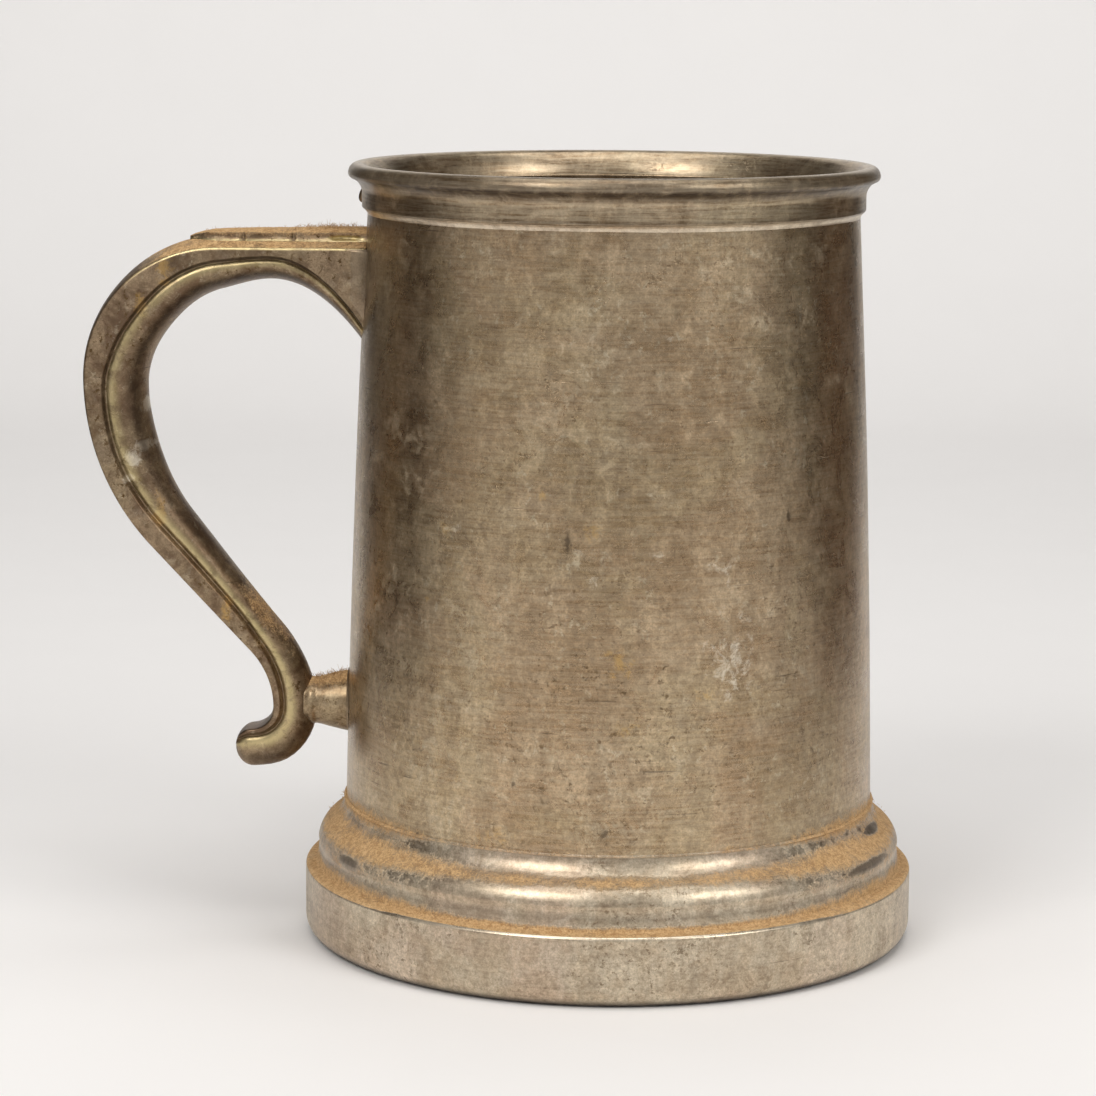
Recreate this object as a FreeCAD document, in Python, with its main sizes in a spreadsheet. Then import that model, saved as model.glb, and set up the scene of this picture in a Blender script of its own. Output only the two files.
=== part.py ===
"""Pewter pint tankard: tapered drum, applied lip band, moulded foot and cast scroll handle.

Millimetres, +Z up.  The origin is on the drum's axis, in the plane that the foot stands on.
The handle is on the -X side, in the XZ plane.
"""
import FreeCAD, Part
import Sketcher
import math
import os

DOC = FreeCAD.newDocument("tankard")
V = FreeCAD.Vector

# ---------------------------------------------------------------- driving dimensions
DIMENSIONS = {
    # whole vessel
    "total_height": 125.0,
    "wall": 1.5,
    "solder_film": 0.02,
    # drum: outer radii at its two ends, and the radius of its slight belly
    "drum_bottom_z": 8.0,
    "drum_top_z": 121.0,
    "drum_bottom_r": 43.14,
    "drum_top_r": 39.13,
    "belly_radius": 2680.0,
    "floor_thickness": 2.2,
    "floor_taper": 0.09,
    "floor_solder_leg": 1.1,
    "floor_solder_gap": 0.1,
    "floor_solder_lean": 0.04,
    # lip band
    "band_bottom_z": 117.1,
    "band_bottom_r": 39.36,
    "band_edge_z": 118.0,
    "band_r": 40.2,
    "band_top_z": 120.5,
    "cove_z": 122.7,
    "cove_r": 42.0,
    "cove_radius": 2.6,
    "lip_outer_z": 123.8,
    "lip_outer_r": 42.35,
    "lip_underside_radius": 0.9,
    "lip_crown_r": 40.75,
    "lip_round_radius": 1.45,
    "lip_inner_z": 124.35,
    "lip_inner_r": 39.3,
    "lip_inner_radius": 2.1,
    "throat_z": 121.9,
    "band_solder_leg": 0.45,
    "band_solder_rise": 0.35,
    # foot
    "foot_bottom_r": 46.9,
    "foot_heel_z": 3.0,
    "foot_heel_radius": 2.9,
    "plinth_r": 49.55,
    "plinth_top_z": 11.0,
    "plinth_chamfer": 0.45,
    "ledge_z": 11.7,
    "ledge_r": 47.7,
    "torus_base_r": 47.3,
    "torus_base_z": 14.6,
    "ovolo_r": 47.45,
    "ovolo_z": 15.5,
    "ovolo_top_r": 45.6,
    "ovolo_top_z": 18.4,
    "ovolo_radius": 4.2,
    "cavetto_r": 45.3,
    "cavetto_z": 18.7,
    "cavetto_radius": 4.6,
    "cavetto_top_r": 42.95,
    "cavetto_top_z": 22.2,
    "skirt_inner_r": 47.2,
    "skirt_toe_r": 45.6,
    "shelf_z": 9.6,
    "skirt_cavity_r": 45.1,
    "skirt_depth": 15.5,
    "foot_bore_bottom_r": 43.06,
    "foot_bore_top_r": 42.93,
    "foot_solder_leg": 0.35,
    # handle: the run of the strap's edge, as two straights and four arcs
    "strap_edge_z": 111.5,
    "strap_root_x": 38.4,
    "shoulder_x": 63.1,
    "shoulder_radius": 21.3,
    "leg_radius": 39.6,
    "leg_angle": 42.5,
    "leg_length": 23.4,
    "ankle_radius": 14.0,
    "curl_radius": 4.0,
    "curl_angle": 88.0,
    "knob_length": 2.9,
    "groove_inset": 1.25,
    "groove_step": 0.35,
    "bead_inset": 0.7,
    "bead_swell": 0.22,
    # web under the top of the handle
    "web_start_x": 54.7,
    "web_radius": 11.0,
    "web_groove_radius": 10.2,
    # raised thumb rest on the strap
    "rest_half_width": 4.2,
    "rest_step": 0.35,
    "rest_nose_x": 67.8,
    "rest_first_step_x": 58.9,
    "rest_second_step_x": 50.9,
    "rest_base_z": 112.2,
    "rest_seat_depth": 1.2,
    "rest_side_z": 113.6,
    "rest_crown": 0.7,
    "rest_drum_rise": 0.35,
    "rest_slope_drop": 0.1,
    "rest_nose_radius": 12.5,
    "rest_nose_z": 112.9,
    "rest_slope_x": 62.0,
    "flute_near_x": 39.9,
    "flute_far_x": 45.2,
    "flute_z": 112.95,
    "flute_radius": 0.45,
    "flute_offset": 0.15,
    # strut and solder joints of the handle
    "strut_z": 37.2,
    "strut_handle_x": 49.2,
    "strut_handle_r": 3.3,
    "strut_drum_r": 5.45,
    "strut_length": 7.6,
    "strut_solder_r": 6.05,
    "strut_solder_leg": 0.5,
    "strut_solder_lap": 0.1,
    "root_solder_leg": 2.1,
    "root_solder_edge": 0.6,
    "root_solder_reach": 4.1,
    "root_solder_bury": 0.5,
    "root_solder_low_z": 97.8,
    "root_solder_high_z": 103.0,
    "blob_x": 40.25,
    "blob_z": 119.4,
    "blob_radius": 0.85,
}

# Key sections of the handle: run along the strap's edge, total depth, depth of the flat side,
# half width, and rise of the crown.  The run starts at the shoulder and is in millimetres.
HANDLE_KEYS = [
    ("web_end", -8.4, 5.3, 1.4, 6.75, 1.5),
    ("bend_start", 1.0, 7.3, 2.2, 6.75, 1.5),
    ("bend_third", 11.0, 9.2, 3.6, 6.7, 1.1),
    ("bend_middle", 18.5, 9.9, 4.3, 6.6, 0.8),
    ("bend_end", 28.0, 9.9, 3.8, 6.5, 0.7),
    ("widest", 34.5, 9.6, 3.0, 6.4, 0.65),
    ("leg_upper", 48.0, 9.2, 2.7, 6.2, 0.6),
    ("leg_middle", 63.0, 7.9, 3.0, 5.8, 0.55),
    ("leg_lower", 79.5, 6.5, 2.6, 5.2, 0.45),
    ("ankle", 89.0, 6.1, 1.5, 4.7, 0.35),
    ("heel", 97.5, 6.9, 1.2, 4.2, 0.3),
    ("curl", 100.5, 7.1, 1.0, 3.8, 0.25),
    ("tip", 102.7, 6.6, 0.8, 3.4, 0.25),
]
KEY_FIELDS = ("run", "depth", "side", "half", "crown")

# How finely the handle is sectioned, and where its rounded tail has sections
WEB_SECTIONS = 7
BEND_SECTIONS = 20
CURL_SECTIONS = 12
BEAD_STEPS = 12
KNOB_SHARES = (0.45, 0.75, 0.93)

SHEET = DOC.addObject("Spreadsheet::Sheet", "Dims")
CELLS = dict(DIMENSIONS)
for key_name, *values in HANDLE_KEYS:
    for field, value in zip(KEY_FIELDS, values):
        CELLS[f"{key_name}_{field}"] = value
for row, (alias, value) in enumerate(CELLS.items(), start=1):
    SHEET.set(f"A{row}", alias)
    SHEET.set(f"B{row}", str(value))
    SHEET.setAlias(f"B{row}", alias)
DOC.recompute()


def dim(alias):
    """The value of one driving dimension, read from the sheet."""
    return float(SHEET.get(alias))


def value_of(expression):
    """The number that an expression of sheet cells gives."""
    return float(SHEET.evalExpression(expression))


def cell(text):
    """Write a formula of aliases, such as 'band_r - wall', as a document expression."""
    words = text.replace("(", " ( ").replace(")", " ) ").split()
    return " ".join(f"Dims.{word}" if word in CELLS else word for word in words)


# ---------------------------------------------------------------- sketch helpers
def plane(body, role):
    """One of a body's own origin planes."""
    return next(item for item in body.Origin.OriginFeatures if item.Role == role)


def arc_between(start, end, radius, side):
    """Arc of the given radius; side +1 bulges to the right of the way from start to end."""
    chord = end - start
    middle = (start + end) * 0.5
    height = math.sqrt(radius ** 2 - (chord.Length / 2) ** 2)
    right = V(chord.y, -chord.x, 0).normalize()
    centre = middle - right * height * side
    crest = centre + right * radius * side
    return Part.Arc(start, crest, end)


def fix_point(sketch, geometry, point, texts, position):
    """Tie one sketch point to the sheet, across and up."""
    for kind, axis, text, number in (("DistanceX", -2, texts[0], position.x),
                                     ("DistanceY", -1, texts[1], position.y)):
        if abs(number) < 1e-9:
            sketch.addConstraint(Sketcher.Constraint("PointOnObject", geometry, point, axis))
            continue
        index = sketch.addConstraint(
            Sketcher.Constraint(kind, -1, 1, geometry, point, number))
        sketch.setExpression(f"Constraints[{index}]", cell(text))


def outline(body, name, role, corners):
    """Closed sketch.  A corner is (across, up) or (across, up, radius, side).

    The texts are formulas of sheet cells.  Radius and side shape the stretch to the next corner.
    """
    sketch = body.newObject("Sketcher::SketchObject", name)
    sketch.AttachmentSupport = [(plane(body, role), "")]
    sketch.MapMode = "FlatFace"
    points = [V(value_of(cell(c[0])), value_of(cell(c[1])), 0) for c in corners]
    count = len(corners)
    for i, corner in enumerate(corners):
        start, end = points[i], points[(i + 1) % count]
        if len(corner) == 2:
            sketch.addGeometry(Part.LineSegment(start, end), False)
        else:
            arc = arc_between(start, end, value_of(cell(corner[2])), corner[3])
            sketch.addGeometry(arc, False)
    ends = [ends_of(sketch, i, points[i]) for i in range(count)]
    for i in range(count):
        following = (i + 1) % count
        sketch.addConstraint(Sketcher.Constraint(
            "Coincident", i, ends[i][1], following, ends[following][0]))
        fix_point(sketch, i, ends[i][0], corners[i][:2], points[i])
        if len(corners[i]) > 2:
            index = sketch.addConstraint(
                Sketcher.Constraint("Radius", i, value_of(cell(corners[i][2]))))
            sketch.setExpression(f"Constraints[{index}]", cell(corners[i][2]))
    return sketch


def ends_of(sketch, index, start):
    """Which of a geometry's two ends is its start along the outline, and which its end."""
    first = sketch.getPoint(index, 1)
    return (1, 2) if (first - start).Length < 1e-6 else (2, 1)


def turned(name, corners):
    """A body of revolution about Z, from a half profile of radius and height."""
    body = DOC.addObject("PartDesign::Body", name)
    body.Label = name
    sketch = outline(body, name + "_profile", "XZ_Plane", corners)
    turn = body.newObject("PartDesign::Revolution", name + "_turn")
    turn.Profile = sketch
    turn.ReferenceAxis = (sketch, ["V_Axis"])
    turn.Angle = 360.0
    DOC.recompute()
    return body


def boolean(kind, name, base, tool):
    """Part::Cut, Part::Fuse or Part::Common of two objects."""
    result = DOC.addObject(kind, name)
    result.Label = name
    result.Base = base
    result.Tool = tool
    DOC.recompute()
    return result


def along_x(item, across, sideways, up, turn):
    """Lay a round solid along X, with its base at the point that three formulas give."""
    item.Placement = FreeCAD.Placement(V(0, 0, 0), FreeCAD.Rotation(V(0, 1, 0), turn))
    for axis, text in (("x", across), ("y", sideways), ("z", up)):
        item.setExpression(f"Placement.Base.{axis}", cell(text))
    DOC.recompute()


# ---------------------------------------------------------------- drum, floor, band and foot
def make_drum():
    """Tapered wall with a slight belly, open at both ends."""
    return turned("drum", [
        ("drum_bottom_r", "drum_bottom_z", "belly_radius", 1),
        ("drum_top_r", "drum_top_z"),
        ("drum_top_r - wall", "drum_top_z", "belly_radius - wall", -1),
        ("drum_bottom_r - wall", "drum_bottom_z"),
    ])


def make_drum_envelope():
    """The drum's outside, solid right through: what trims the pieces soldered to it."""
    return turned("drum_envelope", [
        ("0", "drum_bottom_z"),
        ("drum_bottom_r + solder_film", "drum_bottom_z", "belly_radius", 1),
        ("drum_top_r + solder_film", "drum_top_z"),
        ("0", "drum_top_z"),
    ])


def make_floor():
    """Flat disc let into the drum's lower end."""
    inside = "drum_bottom_r - wall - solder_film"
    top = "drum_bottom_z + floor_thickness"
    return turned("floor_disc", [
        ("0", "drum_bottom_z"),
        (inside, "drum_bottom_z"),
        (f"{inside} - floor_taper", top),
        ("0", top),
    ])


def make_floor_solder():
    """Solder fillet between the floor and the wall, inside."""
    corner = "drum_bottom_r - wall - solder_film - floor_solder_gap"
    top = "drum_bottom_z + floor_thickness"
    return turned("floor_solder", [
        (corner, f"{top} + solder_film"),
        (f"{corner} - floor_solder_lean", f"{top} + floor_solder_leg", "floor_solder_leg", 1),
        (f"{corner} - floor_solder_leg", f"{top} + solder_film"),
    ])


def make_lip_band():
    """Ring over the drum's top edge: chamfered band, cove, rolled lip and throat."""
    return turned("lip_band", [
        ("band_bottom_r + solder_film", "band_bottom_z"),
        ("band_r", "band_edge_z"),
        ("band_r", "band_top_z", "cove_radius", -1),
        ("cove_r", "cove_z", "lip_underside_radius", 1),
        ("lip_outer_r", "lip_outer_z", "lip_round_radius", 1),
        ("lip_crown_r", "total_height", "lip_inner_radius", 1),
        ("lip_inner_r", "lip_inner_z"),
        ("drum_top_r - wall", "throat_z"),
        ("drum_top_r - wall", "drum_top_z + solder_film"),
        ("drum_top_r + solder_film", "drum_top_z + solder_film"),
    ])


def make_band_solder():
    """Slanted solder line where the band's lower edge meets the drum."""
    clear = "band_bottom_r + solder_film + solder_film"
    return turned("band_solder", [
        (clear, "band_bottom_z - band_solder_leg"),
        (f"{clear} + band_solder_leg", "band_bottom_z + band_solder_rise"),
        (clear, "band_bottom_z - solder_film"),
    ])


def make_foot():
    """Cast foot: plinth, ledge, ovolo and cavetto outside, a hollow skirt underneath."""
    return turned("foot_moulding", [
        ("skirt_toe_r", "0"),
        ("foot_bottom_r", "0", "foot_heel_radius", 1),
        ("plinth_r", "foot_heel_z"),
        ("plinth_r", "plinth_top_z"),
        ("plinth_r - plinth_chamfer", "plinth_top_z + plinth_chamfer"),
        ("ledge_r", "ledge_z"),
        ("torus_base_r", "torus_base_z"),
        ("ovolo_r", "ovolo_z", "ovolo_radius", 1),
        ("ovolo_top_r", "ovolo_top_z"),
        ("cavetto_r", "cavetto_z", "cavetto_radius", -1),
        ("cavetto_top_r + solder_film", "cavetto_top_z"),
        ("foot_bore_top_r + solder_film", "cavetto_top_z - solder_film"),
        ("foot_bore_bottom_r + solder_film", "skirt_depth"),
        ("skirt_cavity_r", "skirt_depth"),
        ("skirt_cavity_r", "shelf_z"),
        ("skirt_inner_r", "shelf_z"),
        ("skirt_inner_r", "foot_heel_z"),
    ])


def make_foot_solder():
    """Solder line round the top of the foot moulding."""
    clear = "foot_bore_top_r + solder_film"
    return turned("foot_solder", [
        (clear, "cavetto_top_z + solder_film"),
        (f"{clear} + foot_solder_leg", "cavetto_top_z + solder_film"),
        (clear, "cavetto_top_z + foot_solder_leg"),
    ])


# ---------------------------------------------------------------- handle
def key_values(field):
    """One field of the key sections, along the run."""
    return [(dim(f"{key[0]}_run"), dim(f"{key[0]}_{field}")) for key in HANDLE_KEYS]


def smooth_between(pairs, run):
    """Value at a run, on a smooth curve through the key sections."""
    if run <= pairs[0][0]:
        return pairs[0][1]
    if run >= pairs[-1][0]:
        return pairs[-1][1]
    index = next(i for i in range(len(pairs) - 1) if run <= pairs[i + 1][0])
    (run_a, value_a), (run_b, value_b) = pairs[index], pairs[index + 1]
    length = run_b - run_a
    share = (run - run_a) / length
    slope_a = slope_at(pairs, index) * length
    slope_b = slope_at(pairs, index + 1) * length
    return (value_a * (1 + 2 * share) * (1 - share) ** 2 + slope_a * share * (1 - share) ** 2
            + value_b * share ** 2 * (3 - 2 * share) + slope_b * share ** 2 * (share - 1))


def slope_at(pairs, index):
    """Slope of the smooth curve at one key section; level at the first and the last."""
    if index in (0, len(pairs) - 1):
        return 0.0
    (run_a, value_a), (run_b, value_b) = pairs[index - 1], pairs[index + 1]
    return (value_b - value_a) / (run_b - run_a)


def strap_edge(run):
    """Point and heading of the strap's edge at a run from the shoulder, as (out, up, heading).

    The heading is the angle turned since the strap left the drum: 0 is outwards, 90 is down.
    """
    bend = dim("shoulder_radius") * math.pi / 2
    leg_turn = math.radians(dim("leg_angle"))
    pieces = [
        (bend, math.pi / 2),
        (dim("leg_radius") * leg_turn, leg_turn),
        (dim("leg_length"), 0.0),
        (dim("ankle_radius") * leg_turn, -leg_turn),
        (dim("curl_radius") * math.radians(dim("curl_angle")), -math.radians(dim("curl_angle"))),
        (dim("knob_length"), 0.0),
    ]
    out, up, heading = dim("shoulder_x"), dim("strap_edge_z"), 0.0
    if run < 0:
        return out + run, up, heading
    for length, turn in pieces:
        step = min(run, length)
        part = turn * step / length
        if abs(part) > 1e-9:
            radius = step / part
            out += radius * (math.sin(heading + part) - math.sin(heading))
            up += radius * (math.cos(heading + part) - math.cos(heading))
        else:
            out += step * math.cos(heading)
            up -= step * math.sin(heading)
        heading += part
        run -= step
        if run < 1e-9:
            break
    return out, up, heading


def web_drop(out, radius):
    """How far the web's lower outline has dropped, at a distance out from the axis."""
    return max(dim("web_start_x") - out, 0.0) ** 2 / (2 * dim(radius))


def section_wire(run, scale=1.0):
    """Closed section: crowned face, two flat sides, a step in to the bead, and the bead."""
    out, up, heading = strap_edge(run)
    depth = smooth_between(key_values("depth"), run) + web_drop(out, "web_radius")
    side = smooth_between(key_values("side"), run) + web_drop(out, "web_groove_radius")
    half = smooth_between(key_values("half"), run)
    crown = smooth_between(key_values("crown"), run)
    neck = half - dim("groove_inset")
    start = side + dim("groove_step")
    bead_half = half - dim("bead_inset")
    bead_middle = start + (depth - start) * dim("bead_swell")
    lift = math.acos(neck / bead_half)
    middle = depth / 2

    def at(across, inward):
        inward = middle + (inward - middle) * scale
        across *= scale
        return V(-(out - inward * math.sin(heading)), across, up - inward * math.cos(heading))

    def bead_point(turn):
        """Point of the bead's outline; it swells from the neck, then rounds to its crest."""
        reach = depth - bead_middle if turn > 0 else (bead_middle - start) / math.sin(lift)
        return at(bead_half * math.cos(turn), bead_middle + reach * math.sin(turn))

    sweep = math.pi + 2 * lift
    bead = Part.BSplineCurve()
    inner = [bead_point(-lift + sweep * i / BEAD_STEPS) for i in range(1, BEAD_STEPS)]
    bead.interpolate([at(neck, start)] + inner + [at(-neck, start)])
    return Part.Wire([
        Part.Arc(at(-half, 0), at(0, -crown), at(half, 0)).toShape(),
        Part.makeLine(at(half, 0), at(half, side)),
        Part.makeLine(at(half, side), at(neck, start)),
        bead.toShape(),
        Part.makeLine(at(-neck, start), at(-half, side)),
        Part.makeLine(at(-half, side), at(-half, 0)),
    ])


def handle_runs():
    """Runs at which the handle's sections stand, closer together at the web and the curl."""
    root = dim("strap_root_x") - dim("shoulder_x")
    stretches = [(root, dim("web_end_run"), WEB_SECTIONS),
                 (dim("web_end_run"), dim("leg_lower_run"), BEND_SECTIONS),
                 (dim("leg_lower_run"), dim("tip_run"), CURL_SECTIONS)]
    runs = [first + (last - first) * i / count
            for first, last, count in stretches for i in range(count)]
    return runs + [dim("tip_run")]


def make_handle(envelope):
    """Cast scroll handle: lofted through its sections, then trimmed to the drum."""
    stations = [(run, 1.0) for run in handle_runs()]
    end = dim("tip_run")
    knob = dim("knob_length")
    for share in KNOB_SHARES:
        stations.append((end + knob * share, math.sqrt(1 - share ** 2)))
    sections = []
    for index, (run, scale) in enumerate(stations):
        section = DOC.addObject("Part::Feature", f"handle_section_{index}")
        section.Shape = section_wire(run, scale)
        sections.append(section)
    loft = DOC.addObject("Part::Loft", "handle_loft")
    loft.Sections = sections
    loft.Solid = True
    loft.Ruled = False
    DOC.recompute()
    return boolean("Part::Cut", "handle", loft, envelope)


# ---------------------------------------------------------------- thumb rest
def make_thumb_rest(handle, envelope):
    """Raised rest on top of the strap, stepped wider towards the drum, fluted by the band."""
    plan = DOC.addObject("PartDesign::Body", "rest_plan")
    wide = "rest_half_width"
    middle = "rest_half_width - rest_step"
    narrow = "rest_half_width - rest_step - rest_step"
    tip = "rest_half_width - 4 * rest_step"
    half_plan = [("strap_root_x", wide), ("rest_second_step_x", wide),
                 ("rest_second_step_x + rest_step", middle), ("rest_first_step_x", middle),
                 ("rest_first_step_x + rest_step", narrow), ("rest_slope_x", narrow),
                 ("rest_nose_x - rest_step", tip), ("rest_nose_x", "rest_step")]
    corners = [(f"-1 * ({x})", y) for x, y in half_plan]
    corners += [(f"-1 * ({x})", f"-1 * ({y})") for x, y in reversed(half_plan)]
    sketch = outline(plan, "rest_outline", "XY_Plane", corners)
    pad = plan.newObject("PartDesign::Pad", "rest_pad")
    pad.Profile = sketch
    pad.setExpression("Length", cell("total_height"))
    DOC.recompute()

    side = DOC.addObject("PartDesign::Body", "rest_side")
    profile = outline(side, "rest_side_outline", "XZ_Plane", [
        ("-1 * strap_root_x", "rest_base_z - rest_seat_depth"),
        ("-1 * strap_root_x", "rest_side_z + rest_crown + rest_drum_rise"),
        ("-1 * rest_second_step_x", "rest_side_z + rest_crown"),
        ("-1 * rest_slope_x", "rest_side_z + rest_crown - rest_slope_drop", "rest_nose_radius", 1),
        ("-1 * rest_nose_x", "rest_nose_z"),
        ("-1 * rest_nose_x", "rest_base_z - rest_seat_depth"),
    ])
    slab = side.newObject("PartDesign::Pad", "rest_slab")
    slab.Profile = profile
    slab.Midplane = True
    slab.setExpression("Length", cell("2 * (rest_half_width + rest_step)"))
    DOC.recompute()

    crown = DOC.addObject("Part::Cylinder", "rest_crown_roll")
    radius = "((rest_half_width ^ 2 + rest_crown ^ 2) / (2 * rest_crown))"
    crown.setExpression("Radius", cell(radius))
    crown.setExpression("Height", cell("rest_nose_x - strap_root_x + rest_step"))
    along_x(crown, "-1 * strap_root_x", "0",
            f"rest_side_z + rest_crown + rest_drum_rise - {radius}", -90)

    shape = boolean("Part::Common", "rest_block", plan, side)
    rounded = boolean("Part::Common", "rest_rounded", shape, crown)
    fluted = rounded
    for hand in (-1, 1):
        flute = DOC.addObject("Part::Cylinder", f"flute_{hand + 1}")
        flute.setExpression("Radius", "Dims.flute_radius")
        flute.setExpression("Height", "Dims.flute_far_x - Dims.flute_near_x")
        along_x(flute, "-1 * flute_near_x", f"{hand} * (rest_half_width + flute_offset)",
                "flute_z", -90)
        fluted = boolean("Part::Cut", f"rest_fluted_{hand + 1}", fluted, flute)
    seated = boolean("Part::Cut", "rest_seated", fluted, handle)
    return boolean("Part::Cut", "thumb_rest", seated, envelope)


# ---------------------------------------------------------------- strut and solder of the handle
def make_strut(handle, envelope):
    """Tapered strut from the drum to the lower end of the handle."""
    cone = DOC.addObject("Part::Cone", "strut_cone")
    cone.setExpression("Radius1", "Dims.strut_handle_r")
    cone.setExpression("Radius2", "Dims.strut_drum_r")
    cone.setExpression("Height", "Dims.strut_length")
    along_x(cone, "-1 * strut_handle_x", "0", "strut_z", 90)
    seated = boolean("Part::Cut", "strut_seated", cone, handle)
    return boolean("Part::Cut", "handle_strut", seated, envelope)


def make_strut_solder(strut, envelope):
    """Thin collar of solder round the strut, against the drum."""
    collar = DOC.addObject("Part::Cone", "strut_collar")
    collar.setExpression("Radius1", "Dims.strut_drum_r - Dims.strut_solder_lap")
    collar.setExpression("Radius2", "Dims.strut_solder_r")
    collar.setExpression("Height", "2 * Dims.strut_solder_leg")
    along_x(collar, "strut_length - strut_handle_x - 2 * strut_solder_leg", "0", "strut_z", 90)
    ring = boolean("Part::Cut", "strut_ring", collar, strut)
    return boolean("Part::Cut", "strut_solder", ring, envelope)


def make_root_solder(handle, envelope):
    """Solder flares up both sides of the handle's web, against the drum."""
    body = DOC.addObject("PartDesign::Body", "root_flare")
    at_drum = "bend_start_half + root_solder_leg"
    at_web = "bend_start_half - root_solder_bury"
    far = "strap_root_x + root_solder_reach"
    half_plan = [("strap_root_x", at_drum), ("strap_root_x + root_solder_edge", at_drum),
                 (far, at_web)]
    corners = [(f"-1 * ({x})", f"-1 * ({y})") for x, y in half_plan]
    corners += [(f"-1 * ({x})", y) for x, y in reversed(half_plan)]
    pad = body.newObject("PartDesign::Pad", "root_flare_pad")
    pad.Profile = outline(body, "root_flare_plan", "XY_Plane", corners)
    pad.setExpression("Length", cell("strap_edge_z"))
    DOC.recompute()
    side = DOC.addObject("PartDesign::Body", "root_flare_side")
    profile = outline(side, "root_flare_side_outline", "XZ_Plane", [
        ("-1 * strap_root_x", "strap_edge_z"),
        (f"-1 * ({far})", "strap_edge_z"),
        (f"-1 * ({far})", "root_solder_high_z"),
        ("-1 * strap_root_x", "root_solder_low_z"),
    ])
    slab = side.newObject("PartDesign::Pad", "root_flare_slab")
    slab.Profile = profile
    slab.Midplane = True
    slab.setExpression("Length", "Dims.total_height")
    DOC.recompute()
    short = boolean("Part::Common", "root_flare_short", body, side)
    outside = boolean("Part::Cut", "root_flare_outside", short, envelope)
    return boolean("Part::Cut", "root_solder", outside, handle)


def make_band_blob():
    """Small lump of solder on the band, above the handle, where the ring's ends were joined."""
    ball = DOC.addObject("Part::Sphere", "blob_ball")
    ball.setExpression("Radius", "Dims.blob_radius")
    ball.setExpression("Placement.Base.x", cell("-1 * blob_x"))
    ball.setExpression("Placement.Base.z", cell("blob_z"))
    DOC.recompute()
    return ball


# ---------------------------------------------------------------- build and write
def build():
    """Make every piece; return the ones that are written, by name."""
    drum = make_drum()
    envelope = make_drum_envelope()
    floor = make_floor()
    floor_solder = make_floor_solder()
    band = make_lip_band()
    band_solder = make_band_solder()
    foot = make_foot()
    foot_solder = make_foot_solder()
    handle = make_handle(envelope)
    rest = make_thumb_rest(handle, envelope)
    strut = make_strut(handle, envelope)
    strut_solder = make_strut_solder(strut, envelope)
    root_solder = make_root_solder(handle, envelope)
    blob = boolean("Part::Cut", "band_joint_solder", make_band_blob(), band)
    return [drum, floor, floor_solder, band, band_solder, blob, foot, foot_solder,
            handle, rest, strut, strut_solder, root_solder]


def check_and_write(pieces):
    """Stop on any failed object or bad solid, then write one file per piece."""
    DOC.recompute()
    for item in DOC.Objects:
        for state in item.State:
            if state in ("Invalid", "Error"):
                raise RuntimeError(f"{item.Label} is {state}")
    os.makedirs("parts", exist_ok=True)
    for piece in pieces:
        shape = piece.Shape
        if shape.isNull() or not shape.isValid() or not shape.Solids:
            raise RuntimeError(f"{piece.Label} has no valid solid")
        box = shape.BoundBox
        print(f"{piece.Label:20s} solids {len(shape.Solids)}  volume {shape.Volume:9.1f}  "
              f"x {box.XMin:7.2f} {box.XMax:7.2f}  y {box.YMin:7.2f} {box.YMax:7.2f}  "
              f"z {box.ZMin:7.2f} {box.ZMax:7.2f}")
        shape.exportStep(f"parts/{piece.Label}.step")


check_and_write(build())
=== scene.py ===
"""Looks of a pewter pint tankard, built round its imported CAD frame.

Every size is in millimetres and is scaled to metres as the meshes are made.
"""
import random
from math import acos, asin, atan2, ceil, cos, degrees, hypot, pi, radians, sin, sqrt

import bpy
from mathutils import Matrix, Vector, noise


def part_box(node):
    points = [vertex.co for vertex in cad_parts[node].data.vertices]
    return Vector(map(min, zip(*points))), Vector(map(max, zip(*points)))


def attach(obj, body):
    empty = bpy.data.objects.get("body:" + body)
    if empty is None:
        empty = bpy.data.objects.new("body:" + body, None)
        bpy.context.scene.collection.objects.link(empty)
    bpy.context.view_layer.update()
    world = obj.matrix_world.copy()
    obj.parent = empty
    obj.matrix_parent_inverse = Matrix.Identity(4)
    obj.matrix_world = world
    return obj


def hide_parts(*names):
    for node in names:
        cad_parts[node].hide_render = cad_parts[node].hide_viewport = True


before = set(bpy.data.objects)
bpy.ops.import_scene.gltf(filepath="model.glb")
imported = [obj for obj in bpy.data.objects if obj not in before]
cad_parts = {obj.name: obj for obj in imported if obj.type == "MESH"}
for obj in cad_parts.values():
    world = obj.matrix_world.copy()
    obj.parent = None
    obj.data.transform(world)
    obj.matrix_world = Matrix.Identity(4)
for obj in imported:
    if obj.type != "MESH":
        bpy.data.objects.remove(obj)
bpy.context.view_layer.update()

MM = 0.001
random.seed(7)

# ------------------------ sizes
# corners of the CAD nodes' boxes
DRUM_LOW, DRUM_HIGH = (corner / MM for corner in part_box("drum"))
_, LIP_HIGH = (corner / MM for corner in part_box("lip_band"))
HANDLE_LOW, _ = (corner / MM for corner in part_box("handle"))
_, FOOT_HIGH = (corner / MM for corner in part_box("foot_moulding"))
REST_LOW, REST_HIGH = (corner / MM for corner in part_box("thumb_rest"))
STRUT_LOW, STRUT_HIGH = (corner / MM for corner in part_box("handle_strut"))
BLOB_LOW, BLOB_HIGH = (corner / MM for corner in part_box("band_joint_solder"))
FLARE_LOW, _ = (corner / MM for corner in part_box("root_solder"))
# sizes inside those boxes, as in the CAD
STRAP_Z = 111.5  # top of the handle's strap
WALL = 1.5
DRUM_TOP_R = 39.13
BELLY_RADIUS = 2680.0  # of the drum's slight belly
BOX_MARGIN = 0.01  # keeps uneven surfaces inside the CAD's box


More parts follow.
